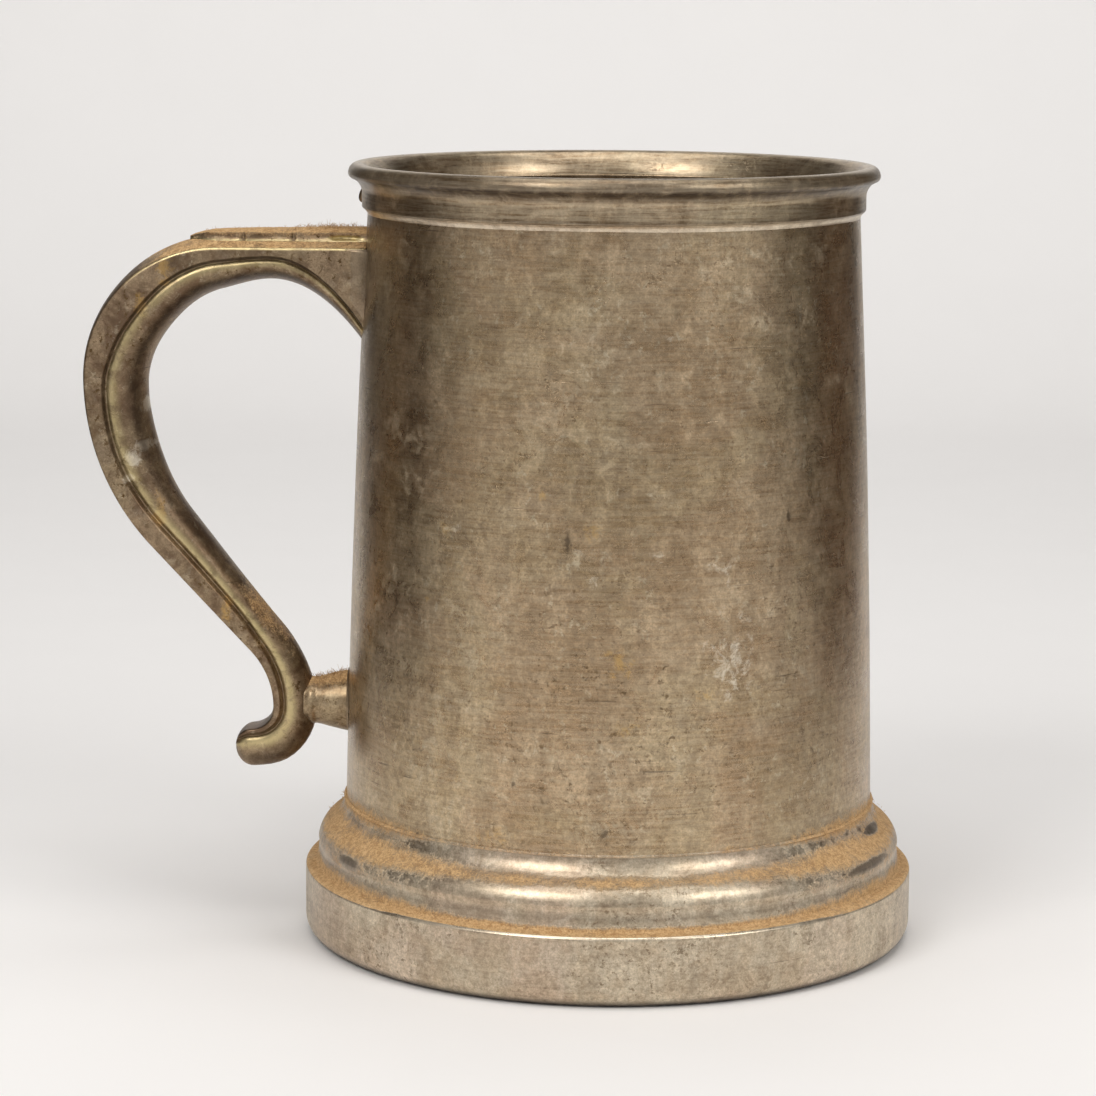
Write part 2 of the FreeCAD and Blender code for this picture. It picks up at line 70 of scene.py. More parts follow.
# ------------------------ mesh helpers
def arc_points(start, end, radius, side, step):
    """Points of an arc from start towards end; side +1 bulges to the right of the way."""
    start, end = Vector(start), Vector(end)
    chord = end - start
    height = sqrt(radius ** 2 - (chord.length / 2) ** 2)
    right = Vector((chord.y, -chord.x)).normalized()
    centre = (start + end) / 2 - right * height * side
    first = atan2(*(start - centre).yx)
    sweep = 2 * asin(chord.length / 2 / radius) * side
    count = max(2, ceil(abs(sweep) * radius / step))
    return [centre + radius * Vector((cos(first + sweep * i / count),
                                      sin(first + sweep * i / count)))
            for i in range(count)]


SHARP_TURN = radians(16)
BEVEL_STEPS = 5
BEVEL_SUPPORT = 1.15  # supporting points beside a bevel, as a share of its reach


def traced(corners, bevel=0.16, arc_step=0.25, line_step=1.2):
    """Closed outline of points through corners (radius, height[, arc radius, side]).

    Sharp corners are rounded off, with supporting points beside them.
    """
    points = []
    for i, corner in enumerate(corners):
        start, end = corner[:2], corners[(i + 1) % len(corners)][:2]
        if len(corner) > 2:
            points += arc_points(start, end, corner[2], corner[3], arc_step)
        else:
            start, end = Vector(start), Vector(end)
            count = max(1, ceil((end - start).length / line_step))
            points += [start.lerp(end, k / count) for k in range(count)]
    rounded = []
    for i, point in enumerate(points):
        before = points[i - 1] - point
        after = points[(i + 1) % len(points)] - point
        turn = pi - before.angle(after)
        if turn < SHARP_TURN:
            rounded.append(point)
            continue
        reach = min(bevel, 0.4 * before.length, 0.4 * after.length)
        a, b = before.normalized() * reach, after.normalized() * reach
        rounded.append(point + a * BEVEL_SUPPORT)
        for k in range(BEVEL_STEPS):
            t = k / (BEVEL_STEPS - 1)
            rounded.append(point + a * (1 - t) ** 2 + b * t ** 2)
        rounded.append(point + b * BEVEL_SUPPORT)
    return rounded


def new_object(name, points, faces, material):
    """Smooth mesh from points in millimetres, in the scene."""
    mesh = bpy.data.meshes.new(name)
    mesh.from_pydata([Vector(p) * MM for p in points], [], faces)
    mesh.polygons.foreach_set("use_smooth", [True] * len(mesh.polygons))
    mesh.materials.append(material)
    thing = bpy.data.objects.new(name, mesh)
    bpy.context.scene.collection.objects.link(thing)
    return thing


def new_piece(name, points, faces, material, masks=(), slot=None, replaces=()):
    """Visible piece, which rides on the one body.

    masks holds (name, numbers at the points), which the material reads by name.
    """
    piece = new_object(name, points, faces, material)
    piece.data.validate()
    for mask, values in masks:
        piece.data.attributes.new(mask, "FLOAT", "POINT").data.foreach_set("value", values)
    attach(piece, "root")
    if replaces:
        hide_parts(*replaces)


def tube_faces(rings, around, closed_ends):
    """Quads over rings of points; closed_ends caps the two ends, else the rings join up."""
    faces = []
    spans = rings - 1 if closed_ends else rings
    for i in range(spans):
        j = (i + 1) % rings
        for k in range(around):
            m = (k + 1) % around
            faces.append((i * around + k, j * around + k, j * around + m, i * around + m))
    if closed_ends:
        faces.append(tuple(range(around)))
        faces.append(tuple(reversed(range((rings - 1) * around, rings * around))))
    return faces


def lathe(name, outline, material, dent, masks, segments=360, **links):
    """Turned piece.  dent(radius, angle, height) gives how far a point is pushed inwards."""
    points = []
    for i in range(segments):
        angle = 2 * pi * i / segments
        for radius, height in outline:
            r = radius - dent(radius, angle, height)
            points.append((r * cos(angle), r * sin(angle), height))
    values = [(mask, [function(*point) for point in points]) for mask, function in masks.items()]
    new_piece(name, points, tube_faces(segments, len(outline), False), material, values, **links)


def smoothstep(low, high, value):
    """0 below low, 1 above high, and a smooth rise between them."""
    t = max(0.0, min(1.0, (value - low) / (high - low)))
    return t * t * (3 - 2 * t)


def bump_at(value, centre, width):
    """Smooth bump of height 1 at centre, down to 0 at width away."""
    return 1 - smoothstep(0, width, abs(value - centre))


def spot(across, up, core, rim):
    """1 in the middle of a spot and 0 past its rim; distances are in half sizes of the spot."""
    return 1 - smoothstep(core, rim, hypot(across, up))


def bearing(x, y):
    """Degrees round from the front, rising towards +X."""
    return degrees(atan2(x, -y))


# ------------------------ material helpers
class Tree:
    """A material's nodes, with short calls for the ones used here."""

    def __init__(self, name):
        self.material = bpy.data.materials.new(name)
        self.material.use_nodes = True
        self.nodes = self.material.node_tree.nodes
        self.links = self.material.node_tree.links
        self.shader = self.nodes["Principled BSDF"]
        self.place = self.nodes.new("ShaderNodeTexCoord").outputs["Object"]

    def put(self, socket, value):
        """Set a socket to a number, colour or another node's output."""
        if isinstance(value, bpy.types.NodeSocket):
            self.links.new(value, socket)
        else:
            socket.default_value = value

    def add(self, kind, output, **inputs):
        """New node with these inputs; gives one of its outputs."""
        node = self.nodes.new("ShaderNode" + kind)
        for name, value in inputs.items():
            self.put(node.inputs[name], value)
        return node.outputs[output]

    def math(self, operation, a, b=0.0, c=0.0, clamp=False):
        """Arithmetic on numbers or outputs."""
        node = self.nodes.new("ShaderNodeMath")
        node.operation = operation
        node.use_clamp = clamp
        for socket, value in zip(node.inputs, (a, b, c)):
            self.put(socket, value)
        return node.outputs[0]

    def times(self, a, b):
        return self.math("MULTIPLY", a, b)

    def plus(self, a, b):
        return self.math("ADD", a, b)

    def less(self, a, b):
        return self.math("SUBTRACT", a, b)

    def larger(self, a, b):
        return self.math("MAXIMUM", a, b)

    def stretch(self, scale, turn=(0, 0, 0)):
        """The place on the object, scaled along each axis."""
        return self.add("Mapping", 0, Vector=self.place, Scale=scale, Rotation=turn)

    def noise(self, size, detail=4.0, rough=0.6, warp=0.0):
        """Noise whose features are about size millimetres across."""
        return self.raw_noise(self.place, 1 / (size * MM), detail, rough, warp)

    def raw_noise(self, vector, scale, detail, rough, warp=0.0):
        """Noise over a vector, such as a stretched place."""
        return self.add("TexNoise", "Fac", Vector=vector, Scale=scale, Detail=detail,
                        Roughness=rough, Distortion=warp)

    def patches(self, size, detail, rough, warp, low, high, least=0.0, most=1.0):
        """Patches of noise: least outside them, most inside, fading from low to high."""
        return self.ramp(self.noise(size, detail, rough, warp), low, high, least, most)

    def scratches(self, slant, salt):
        """Sparse straight scratches at a slant, as a number from 0 to 1."""
        lines = self.raw_noise(self.stretch((70, 70, 2300), (slant, slant * 0.6, salt)),
                               1.0, 2, 0.5)
        areas = self.raw_noise(self.stretch((90, 90, 90), (salt, 0, slant)), 1.0, 2, 0.5)
        return self.math("MULTIPLY", self.ramp(lines, 0.68, 0.74), self.ramp(areas, 0.54, 0.62))

    def ramp(self, value, low, high, start=0.0, end=1.0):
        """Smooth step of a value between low and high, running from start to end."""
        node = self.nodes.new("ShaderNodeMapRange")
        node.interpolation_type = "SMOOTHSTEP"
        for socket, number in zip(node.inputs, (value, low, high, start, end)):
            self.put(socket, number)
        return node.outputs[0]

    def mix(self, factor, a, b, blend="MIX"):
        """Mix two colours."""
        node = self.nodes.new("ShaderNodeMix")
        node.data_type = "RGBA"
        node.blend_type = blend
        self.put(node.inputs[0], factor)
        for socket, value in ((node.inputs[6], a), (node.inputs[7], b)):
            self.put(socket, value if isinstance(value, bpy.types.NodeSocket) else (*value, 1))
        return node.outputs[2]

    def mask(self, name):
        """A number kept at the vertices of the mesh."""
        node = self.nodes.new("ShaderNodeAttribute")
        node.attribute_name = name
        return node.outputs["Fac"]

    def bump(self, height, depth, **under):
        """Normal that follows a height, depth in millimetres, over any Normal given."""
        return self.add("Bump", 0, Strength=1.0, Distance=depth * MM, Height=height, **under)


def srgb(red, green, blue):
    """Linear colour from the usual 0 to 255 numbers."""
    return tuple(c / 255 / 12.92 if c <= 10 else ((c / 255 + 0.055) / 1.055) ** 2.4
                 for c in (red, green, blue))


DUST, DUST_DARK, DUST_SHADE = srgb(222, 184, 132), srgb(184, 141, 89), srgb(146, 112, 70)
PINK_CAST, OLIVE_CAST = srgb(208, 174, 144), srgb(198, 180, 140)
STREAK_BROWN = srgb(120, 98, 76)
PATCH_BROWN = srgb(128, 104, 80)
CLOUD_CREAM, FLECK_CREAM = srgb(248, 234, 204), srgb(250, 238, 208)
PIT_BROWN = srgb(104, 80, 50)
SMALL_SHADE, FINE_SHADE = srgb(104, 86, 66), srgb(92, 76, 58)
SCRATCH_DARK = srgb(58, 46, 36)
TURNED_BRIGHT = srgb(236, 220, 192)
# colour of grime, and of painted shade where the grime mask lays it
GRIME_AND_SHADE_BROWN = srgb(52, 38, 25)
# colour of bare metal, and of painted highlights where the wear mask lays it
RUBBED_AND_HIGHLIGHT_BRIGHT = srgb(236, 222, 198)
# mask, colour, greatest cover
STAIN_LOOKS = (("rust", srgb(202, 162, 94), 0.58), ("chalk", srgb(250, 240, 220), 0.6),
               ("dark", srgb(88, 74, 60), 0.8))

# size in millimetres, detail, roughness and warp of each scale of unevenness
BROAD, MIDDLE, SMALL = (24, 5, 0.6, 0.5), (5.5, 8, 0.72, 0.7), (2.2, 7, 0.75, 0.5)
FINE, GRAIN, CLUMP = (0.9, 6, 0.7), (0.28, 3, 0.6), (6, 5, 0.65)
# the same, then the noise values between which a patch fades in
CAST_PATCHES = (19, 3, 0.5, 0.8, 0.42, 0.58)
BROWN_PATCHES, BROWN_AREAS = (4.2, 9, 0.78, 0.6, 0.53, 0.58), (19, 3, 0.5, 0, 0.46, 0.58)
CLOUD_PATCHES, CLOUD_AREAS = (3.6, 8, 0.74, 0.5, 0.52, 0.62), (21, 4, 0.6, 0, 0.44, 0.58)
FLECK_PATCHES, FLECK_AREAS = (1.5, 5, 0.7, 0.4, 0.58, 0.64), (12, 4, 0.6, 0, 0.45, 0.6)
FINE_PITS, COARSE_PITS = (0.95, 5, 0.7, 0, 0.565, 0.62), (2.5, 7, 0.75, 0.5, 0.585, 0.63)
PIT_AREAS, PITTED_AREAS = (13, 4, 0.6, 0.5, 0.46, 0.6), (6, 5, 0.65, 0, 0.4, 0.58)
# noise scale along x, y and z: marks of turning run round, streaks run down
TURNING_STRETCH, STREAK_STRETCH = (160, 160, 2600), (240, 240, 34)


class Pewter(Tree):
    """Tarnished pewter: patina, pits, pale clouds, scratches, turning lines, stains, dust.

    lines, speckle and blotch scale the turning lines, the brown marks and the pale ones.
    Masks kept at the vertices place the rest: dust, pits and the stains, grime with painted shade,
    and bare metal with painted highlights.
    """

    def __init__(self, name, light, dark, lines=1.0, speckle=1.0, blotch=1.0, roughness=0.42,
                 rubbed_and_highlight=RUBBED_AND_HIGHLIGHT_BRIGHT):
        super().__init__(name)
        self.lines, self.speckle, self.blotch = lines, speckle, blotch
        self.middle, self.small = self.noise(*MIDDLE), self.noise(*SMALL)
        self.fine, self.grain = self.noise(*FINE), self.noise(*GRAIN)
        self.turning = self.raw_noise(self.stretch(TURNING_STRETCH), 1.0, 4, 0.7)
        self.grime, self.wear_and_highlight = self.mask("grime"), self.mask("wear_and_highlight")
        colour = self.dark_marks(self.pale_marks(self.patina(light, dark)))
        colour = self.lay_grime_shade_and_highlights(self.stains(colour), rubbed_and_highlight)
        dusty = self.dust_cover()
        grains = self.ramp(self.plus(self.grain, self.fine), 0.8, 1.2)
        dust_colour = self.mix(grains, DUST_DARK, DUST)
        self.put(self.shader.inputs["Base Color"], self.mix(dusty, colour, dust_colour))
        self.set_gloss(roughness, dusty)
        self.set_relief(dusty)

    def patina(self, light, dark):
        """Ragged light and dark metal with a pink or olive cast, streaks and brown patches."""
        mottle = self.math("MULTIPLY_ADD", self.noise(*BROAD), 0.35, self.times(self.middle, 0.65))
        colour = self.mix(self.ramp(mottle, 0.42, 0.58), dark, light)
        cast = self.mix(self.patches(*CAST_PATCHES), PINK_CAST, OLIVE_CAST)
        colour = self.mix(0.34, colour, cast, "MULTIPLY")
        streaks = self.raw_noise(self.stretch(STREAK_STRETCH), 1.0, 4, 0.6)
        colour = self.mix(self.ramp(streaks, 0.4, 0.62, 0, 0.2), colour, STREAK_BROWN)
        brown = self.times(self.patches(*BROWN_PATCHES), self.patches(*BROWN_AREAS, 0.15, 1.0))
        return self.mix(self.times(brown, 0.4 * self.speckle), colour, PATCH_BROWN)

    def pale_marks(self, colour):
        """Clouds of oxide and small flecks."""
        self.pale = self.times(self.patches(*CLOUD_PATCHES),
                               self.patches(*CLOUD_AREAS, 0.1, self.blotch))
        colour = self.mix(self.times(self.pale, 0.3), colour, CLOUD_CREAM)
        flecks = self.times(self.patches(*FLECK_PATCHES),
                            self.patches(*FLECK_AREAS, 0.15, self.blotch))
        return self.mix(self.times(flecks, 0.42), colour, FLECK_CREAM)

    def dark_marks(self, colour):
        """Pits, shading at three scales, scratches, and bright lines of turning."""
        clusters = self.patches(*PIT_AREAS, 0.12, self.speckle)
        pits = self.larger(self.patches(*FINE_PITS), self.patches(*COARSE_PITS, 0, 0.6))
        pitted = self.times(self.mask("pitted"), self.patches(*PITTED_AREAS))
        self.pits = self.times(pits, self.larger(clusters, pitted))
        colour = self.mix(self.times(self.pits, 0.66), colour, PIT_BROWN)
        colour = self.mix(self.ramp(self.small, 0.38, 0.6, 0.22, 0), colour, SMALL_SHADE)
        colour = self.mix(self.ramp(self.fine, 0.36, 0.62, 0.32, 0), colour, FINE_SHADE)
        colour = self.mix(self.ramp(self.grain, 0.36, 0.64, 0.27, 0), colour, FINE_SHADE)
        self.scratch = self.larger(self.scratches(0.7, 1.0), self.scratches(-0.9, 2.0))
        colour = self.mix(self.times(self.scratch, 0.55), colour, SCRATCH_DARK)
        bright = self.times(self.ramp(self.turning, 0.38, 0.6, 0, 0.15), self.lines)
        return self.mix(bright, colour, TURNED_BRIGHT)

    def stains(self, colour):
        """Ragged stains of rust, chalk and dark film where their masks say."""
        ragged = self.times(self.less(self.small, 0.5), 5.0)
        for name, stain_colour, most in STAIN_LOOKS:
            mask = self.mask(name)
            patch = self.plus(mask, self.times(ragged, 0.75))
            patch = self.times(self.ramp(patch, 0.3, 1.05, 0, most), self.ramp(mask, 0.02, 0.2))
            colour = self.mix(patch, colour, stain_colour)
        return colour

    def lay_grime_shade_and_highlights(self, colour, rubbed_and_highlight):
        """Grime with painted shade in hollows, under things and on sides turned from the light,
        then bare metal with painted highlights.
        """
        uneven = self.math("MULTIPLY", self.grime, self.ramp(self.small, 0.36, 0.56, 0.55, 0.95),
                           clamp=True)
        colour = self.mix(uneven, colour, GRIME_AND_SHADE_BROWN)
        worn_and_lit = self.times(self.wear_and_highlight, self.ramp(self.small, 0.36, 0.54, 0.35, 1))
        return self.mix(worn_and_lit, colour, rubbed_and_highlight)

    def dust_cover(self):
        """How much dust hides the metal: clumps and grains about the dust mask."""
        small, fine, grain, clump = (self.less(scale, 0.5) for scale in (
            self.small, self.fine, self.grain, self.noise(*CLUMP)))
        mask = self.mask("dust")
        dusty = self.plus(mask, self.times(self.plus(clump, small), 0.9))
        dusty = self.plus(dusty, self.times(self.plus(fine, grain), 0.8))
        return self.times(self.ramp(dusty, 0.25, 0.95, 0, 0.92), self.ramp(mask, 0.02, 0.2))

    def set_gloss(self, roughness, dusty):
        """Less metallic under dust and under grime with painted shade, glossier under wear with
        painted highlights.
        """
        film = self.plus(self.times(self.pale, 0.1), self.times(self.grime, 0.35))
        metal = self.math("SUBTRACT", 0.94, film, clamp=True)
        self.put(self.shader.inputs["Metallic"], self.times(metal, self.less(1.0, dusty)))
        gloss = self.plus(roughness, self.ramp(self.middle, 0.38, 0.62, -0.02, 0.06))
        gloss = self.plus(gloss, self.times(self.pale, 0.06))
        gloss = self.less(gloss, self.times(self.wear_and_highlight, 0.1))
        self.put(self.shader.inputs["Roughness"], self.larger(gloss, self.times(dusty, 0.95)))

    def set_relief(self, dusty):
        """Bumps of the metal itself, then of the dust on it."""
        height = self.plus(self.times(self.fine, 0.5), self.times(self.turning, 0.28 * self.lines))
        height = self.less(height, self.times(self.pits, 0.5))
        height = self.less(height, self.times(self.scratch, 0.6))
        surface = self.bump(height, 0.03)
        self.put(self.shader.inputs["Normal"],
                 self.bump(self.times(self.grain, dusty), 0.3, Normal=surface))


def matte(name, roughness, dim, pale, *grain):
    """Dull material of two colours, mixed by noise; grain is the noise's size and detail."""
    tree = Tree(name)
    tree.put(tree.shader.inputs["Base Color"], tree.mix(tree.noise(*grain), dim, pale))
    tree.put(tree.shader.inputs["Roughness"], roughness)
    return tree.material


# ------------------------ camera, sweep and light
CAMERA_ANGLES = (-1.026, 9.393, -0.399)  # yaw, pitch down and roll, in degrees
CAMERA_Y, CAMERA_Z = -566.18, 156.41
LENS, SENSOR_WIDTH = 116.14, 36.0
PAPER_DIM, PAPER_PALE = (0.925, 0.912, 0.905), (0.945, 0.932, 0.925)


def add_camera():
    """Long lens, a little above the mouth, looking down at the middle of the drum."""
    yaw, pitch, roll = (radians(angle) for angle in CAMERA_ANGLES)
    forward = Vector((sin(yaw) * cos(pitch), cos(yaw) * cos(pitch), -sin(pitch)))
    right = Vector((cos(yaw), -sin(yaw), 0))
    up = right.cross(forward)
    side = cos(roll) * right - sin(roll) * up
    top = sin(roll) * right + cos(roll) * up
    data = bpy.data.cameras.new("camera")
    data.lens = LENS
    data.sensor_width = SENSOR_WIDTH
    camera = bpy.data.objects.new("camera", data)
    camera.matrix_world = Matrix((
        (side.x, top.x, -forward.x, 0.0),
        (side.y, top.y, -forward.y, CAMERA_Y * MM),
        (side.z, top.z, -forward.z, CAMERA_Z * MM),
        (0, 0, 0, 1)))
    bpy.context.scene.collection.objects.link(camera)
    bpy.context.scene.camera = camera


def add_sweep():
    """Sheet that runs under the object and curves up behind it."""
    half, front, back, bend, top = 420, -420, 620, 260, 900
    flat_steps, bend_steps = 20, 24
    line = [(front + (back - front) * i / flat_steps, 0) for i in range(flat_steps)]
    line += [(back + bend * sin(a), bend * (1 - cos(a)))
             for a in (pi / 2 * i / bend_steps for i in range(bend_steps + 1))]
    line.append((back + bend, top))
    points, faces = [], []
    for y, z in line:
        points += [(-half, y, z), (half, y, z)]
    for i in range(len(line) - 1):
        faces.append((2 * i, 2 * i + 1, 2 * i + 3, 2 * i + 2))
    paper = matte("pale_paper", 0.9, PAPER_DIM, PAPER_PALE, 40, 2)
    sweep = new_object("sweep", points, faces, paper)


LAMP_COLOUR = (1, 0.985, 0.965)
# name, place, target, width and depth, watts
SOFTBOXES = (
    ("key_left", (-420, -640, 700), (0, 0, 60), (380, 380), 2.9),
    ("fill_right", (620, -560, 620), (0, 0, 60), (420, 420), 2.3),
    ("overhead", (0, -20, 900), (0, -20, 0), (760, 760), 3.8),
    ("backdrop", (0, 350, 820), (0, 800, 260), (800, 300), 0.35))


def add_softbox(name, place, target, size, energy):
    """Rectangular area light."""
    data = bpy.data.lights.new(name, "AREA")
    data.shape = "RECTANGLE"
    data.size, data.size_y = (s * MM for s in size)
    data.energy = energy
    data.color = LAMP_COLOUR
    light = bpy.data.objects.new(name, data)
    light.location = Vector(place) * MM
    aim = (Vector(target) - Vector(place)).normalized()
    light.rotation_euler = aim.to_track_quat("-Z", "Y").to_euler()
    bpy.context.scene.collection.objects.link(light)


# distance out of a flag's near and far edge, how far back it reaches, its bottom and top
FLAG_NEAR_X, FLAG_FAR_X, FLAG_FAR_Y, FLAG_LOW, FLAG_HIGH = 236, 202, 190, 4, 420
# name, -1 for the left, how far forward it reaches, colour
FLAGS = (("flag_left", -1, -40, (0.05, 0.03, 0.018)),
         ("flag_right", 1, 30, (0.13, 0.085, 0.06)))


def add_flag(name, hand, near_y, shade):
    """Dark card beside and behind the object, seen only in the metal's reflections."""
    near, far = (FLAG_NEAR_X * hand, near_y), (FLAG_FAR_X * hand, FLAG_FAR_Y)
    corners = [(*near, FLAG_LOW), (*far, FLAG_LOW), (*far, FLAG_HIGH), (*near, FLAG_HIGH)]
    tree = Tree(name)
    tree.put(tree.shader.inputs["Base Color"], (*shade, 1))
    tree.put(tree.shader.inputs["Roughness"], 1.0)
    flag = new_object(name, corners, [(0, 1, 2, 3)], tree.material)
    flag.visible_camera = flag.visible_diffuse = flag.visible_shadow = False


# the room's light: where it starts and is full, by direction along Y, and how bright it is
ROOM_BACK, ROOM_FRONT = 0.25, -0.55
ROOM_DIM, ROOM_BRIGHT = 0.05, 0.5


def add_room():
    """Dim room, brighter in front of the object than behind it."""
    world = bpy.data.worlds.new("room")
    world.use_nodes = True
    nodes, links = world.node_tree.nodes, world.node_tree.links
    split = nodes.new("ShaderNodeSeparateXYZ")
    links.new(nodes.new("ShaderNodeTexCoord").outputs["Generated"], split.inputs[0])
    fall = nodes.new("ShaderNodeMapRange")
    fall.interpolation_type = "SMOOTHSTEP"
    links.new(split.outputs["Y"], fall.inputs[0])
    for socket, number in zip(list(fall.inputs)[1:5],
                              (ROOM_BACK, ROOM_FRONT, ROOM_DIM, ROOM_BRIGHT)):
        socket.default_value = number
    background = nodes["Background"]
    background.inputs[0].default_value = (*LAMP_COLOUR, 1)
    links.new(fall.outputs[0], background.inputs[1])
    bpy.context.scene.world = world


def add_light():
    """Two soft lamps in front, one overhead and one on the backdrop, in a dim room."""
    for softbox in SOFTBOXES:
        add_softbox(*softbox)
    for flag in FLAGS:
        add_flag(*flag)
    add_room()
    bpy.context.scene.view_settings.view_transform = "Standard"


# ------------------------ turned pieces
def drift(x, y, z, size, salt=0.0):
    """Smooth random number about 0, with features of the given size."""
    return noise.noise(Vector((x / size + salt, y / size - salt, z / size + 2 * salt)))


def slight_dents(amount, size, salt):
    """A dent function: shallow hollows, inwards only."""
    def dent(radius, angle, height):
        x, y = radius * cos(angle), radius * sin(angle)
        return amount * (0.5 + 0.5 * drift(x, y, height, size, salt))
    return dent


def side_dust(x, y):
    """How dusty a place is by where it stands: the front is rubbed clean, the rest isn't."""
    front = max(0.0, -y / max(1e-6, hypot(x, y)))
    return 1 - smoothstep(0.55, 0.98, front)


# the drum's stains by kind: bearing in degrees, height, half width, half height
DRUM_STAINS = {
    "rust": [(-38, 71, 2.2, 2.0), (-42, 60, 1.3, 1.2), (-4, 72, 1.6, 1.6), (-22, 24.5, 4.5, 1.3),
             (2, 52, 2.4, 3.0), (4, 42, 2.2, 1.6), (-33, 34, 0.9, 2.6), (-15, 77, 2.0, 1.0),
             (20, 47, 2.5, 1.6)],
    "dark": [(-9, 70, 0.8, 2.0), (-1, 25.5, 1.5, 1.2), (5, 24.5, 1.0, 0.8), (41, 73, 0.6, 1.6),
             (-20, 33, 0.6, 1.1), (-44, 36, 1.4, 0.7)],
    "chalk": [(-3, 64, 1.5, 1.8), (24, 66, 4.5, 1.6), (26, 52, 4.0, 5.5), (9, 68, 2.0, 1.5),
              (-36, 72, 2.6, 2.0), (-57, 115.7, 0.8, 0.9), (-49, 115.9, 0.6, 0.6),
              (12, 101, 1.8, 1.0), (-37, 103, 1.2, 0.8)]}
# broad pale haze on the drum: strength, bearing and its half width, height and its half height
CHALK_HAZE = ((0.4, -55, 12, 115.9, 0.9), (0.17, 25, 22, 55, 24), (0.12, -8, 20, 66, 30))
STAIN_STRENGTH = {"rust": 0.65, "chalk": 0.42, "dark": 1.0}
DRUM_MEAN_R = 41.5
DUST_LINE_Z = 21.5  # the foot's dust thins out on the drum above here
ROOT_BEARING = -74  # of the painted shade beside the handle's root, as seen from the front


def inside_drum(x, y):
    """Whether a place is on the drum's inner wall."""
    return hypot(x, y) < DRUM_TOP_R - 1


def drum_dust(x, y, z):
    """Dust above the foot, thick except at the front."""
    side = side_dust(x, y)
    return (1 - smoothstep(DUST_LINE_Z, DUST_LINE_Z + 3 + 1.5 * side, z)) * (0.35 + 0.6 * side)


def drum_grime(x, y, z):
    """Darker, duller inner wall, more so lower down; painted shade under the band and beside the
    handle's root on the upper left; darker low on the right.
    """
    # painted shade just under the band
    under_band = 0.15 * smoothstep(114.5, 117.2, z)
    if inside_drum(x, y) and z > 60:
        return 0.42 - 0.32 * smoothstep(98, 112, z) + under_band
    angle = bearing(x, y)
    # painted shade on the drum's upper left, beside the handle's root
    by_root = 0.6 * bump_at(angle, ROOT_BEARING, 30) * smoothstep(78, 112, z)
    low_right = 0.3 * bump_at(angle, 48, 26) * (1 - smoothstep(40, 75, z))
    return under_band + by_root + low_right


def drum_pits(x, y, z):
    """Where the front is pitted, most of all low down."""
    low = (1 - smoothstep(48, 96, z)) * (0.4 + smoothstep(22, 34, z))
    return bump_at(bearing(x, y), 2, 62) * low


def drum_stain(kind):
    """Mask function for one kind of stain, in its spots and its haze."""
    hazes = CHALK_HAZE if kind == "chalk" else ()

    def amount(x, y, z):
        if inside_drum(x, y):
            return 0.0
        angle = bearing(x, y)
        haze = sum(strength * bump_at(angle, at, wide) * bump_at(z, up, tall)
                   for strength, at, wide, up, tall in hazes)
        return haze + STAIN_STRENGTH[kind] * max(
            spot(radians(angle - at) * DRUM_MEAN_R / wide, (z - up) / tall, 0.0, 1.5)
            for at, up, wide, tall in DRUM_STAINS[kind])
    return amount


def make_drum(material):
    """Tapered wall with faint dents."""
    outer_r, low, high = DRUM_HIGH.x, DRUM_LOW.z, DRUM_HIGH.z
    outline = traced([
        (outer_r, low, BELLY_RADIUS, 1), (DRUM_TOP_R, high),
        (DRUM_TOP_R - WALL, high, BELLY_RADIUS - WALL, -1), (outer_r - WALL, low)],
        arc_step=0.8)
    masks = {kind: drum_stain(kind) for kind in STAIN_STRENGTH}
    masks.update(dust=drum_dust, grime=drum_grime, pitted=drum_pits)
    lathe("drum_wall", outline, material, slight_dents(0.1, 24, 3.1), masks,
          slot="pewter_drum", replaces=("drum",))


BAND_R, BAND_LOW_Z, BAND_HIGH_Z = 40.2, 118.05, 120.5
THROAT_R = 37.61
NICK_ANGLE, NICK_HALF_ANGLE, NICK_DEPTH = radians(91.5), 0.018, 0.25


def lip_dent(radius, angle, height):
    """Faint dents all round and a nick in the rim at the back."""
    nick = NICK_DEPTH * bump_at(angle, NICK_ANGLE, NICK_HALF_ANGLE)
    return slight_dents(0.06, 12, 5.3)(radius, angle, height) \
        + nick * smoothstep(123.9, 124.9, height)


def lip_grime(x, y, z):
    """Darker over the roll with a painted shadow in the cove under it, painted shade along the
    band's lower edge, darker and duller inside.
    """
    radius = hypot(x, y)
    outside = smoothstep(39.9, 40.6, radius)
    inside = 1 - smoothstep(39.4, 40.4, radius)
    # the roll darkened, with a painted shadow in the cove beneath it
    under_roll = (0.52 + 0.4 * bump_at(z, 122.6, 1.0)) * smoothstep(120.6, 121.6, z)
    # painted shade along the band's lower edge
    return outside * (0.1 + under_roll) + 0.5 * bump_at(z, BAND_LOW_Z + 0.15, 0.7) + 0.22 * inside


def lip_wear_and_highlight(x, y, z):
    """Rubbed bare metal with a painted highlight on the rim's top, and a little on its outermost
    line.
    """
    return 0.3 * smoothstep(124.7, 125.0, z) + 0.08 * smoothstep(42.2, 42.4, hypot(x, y))


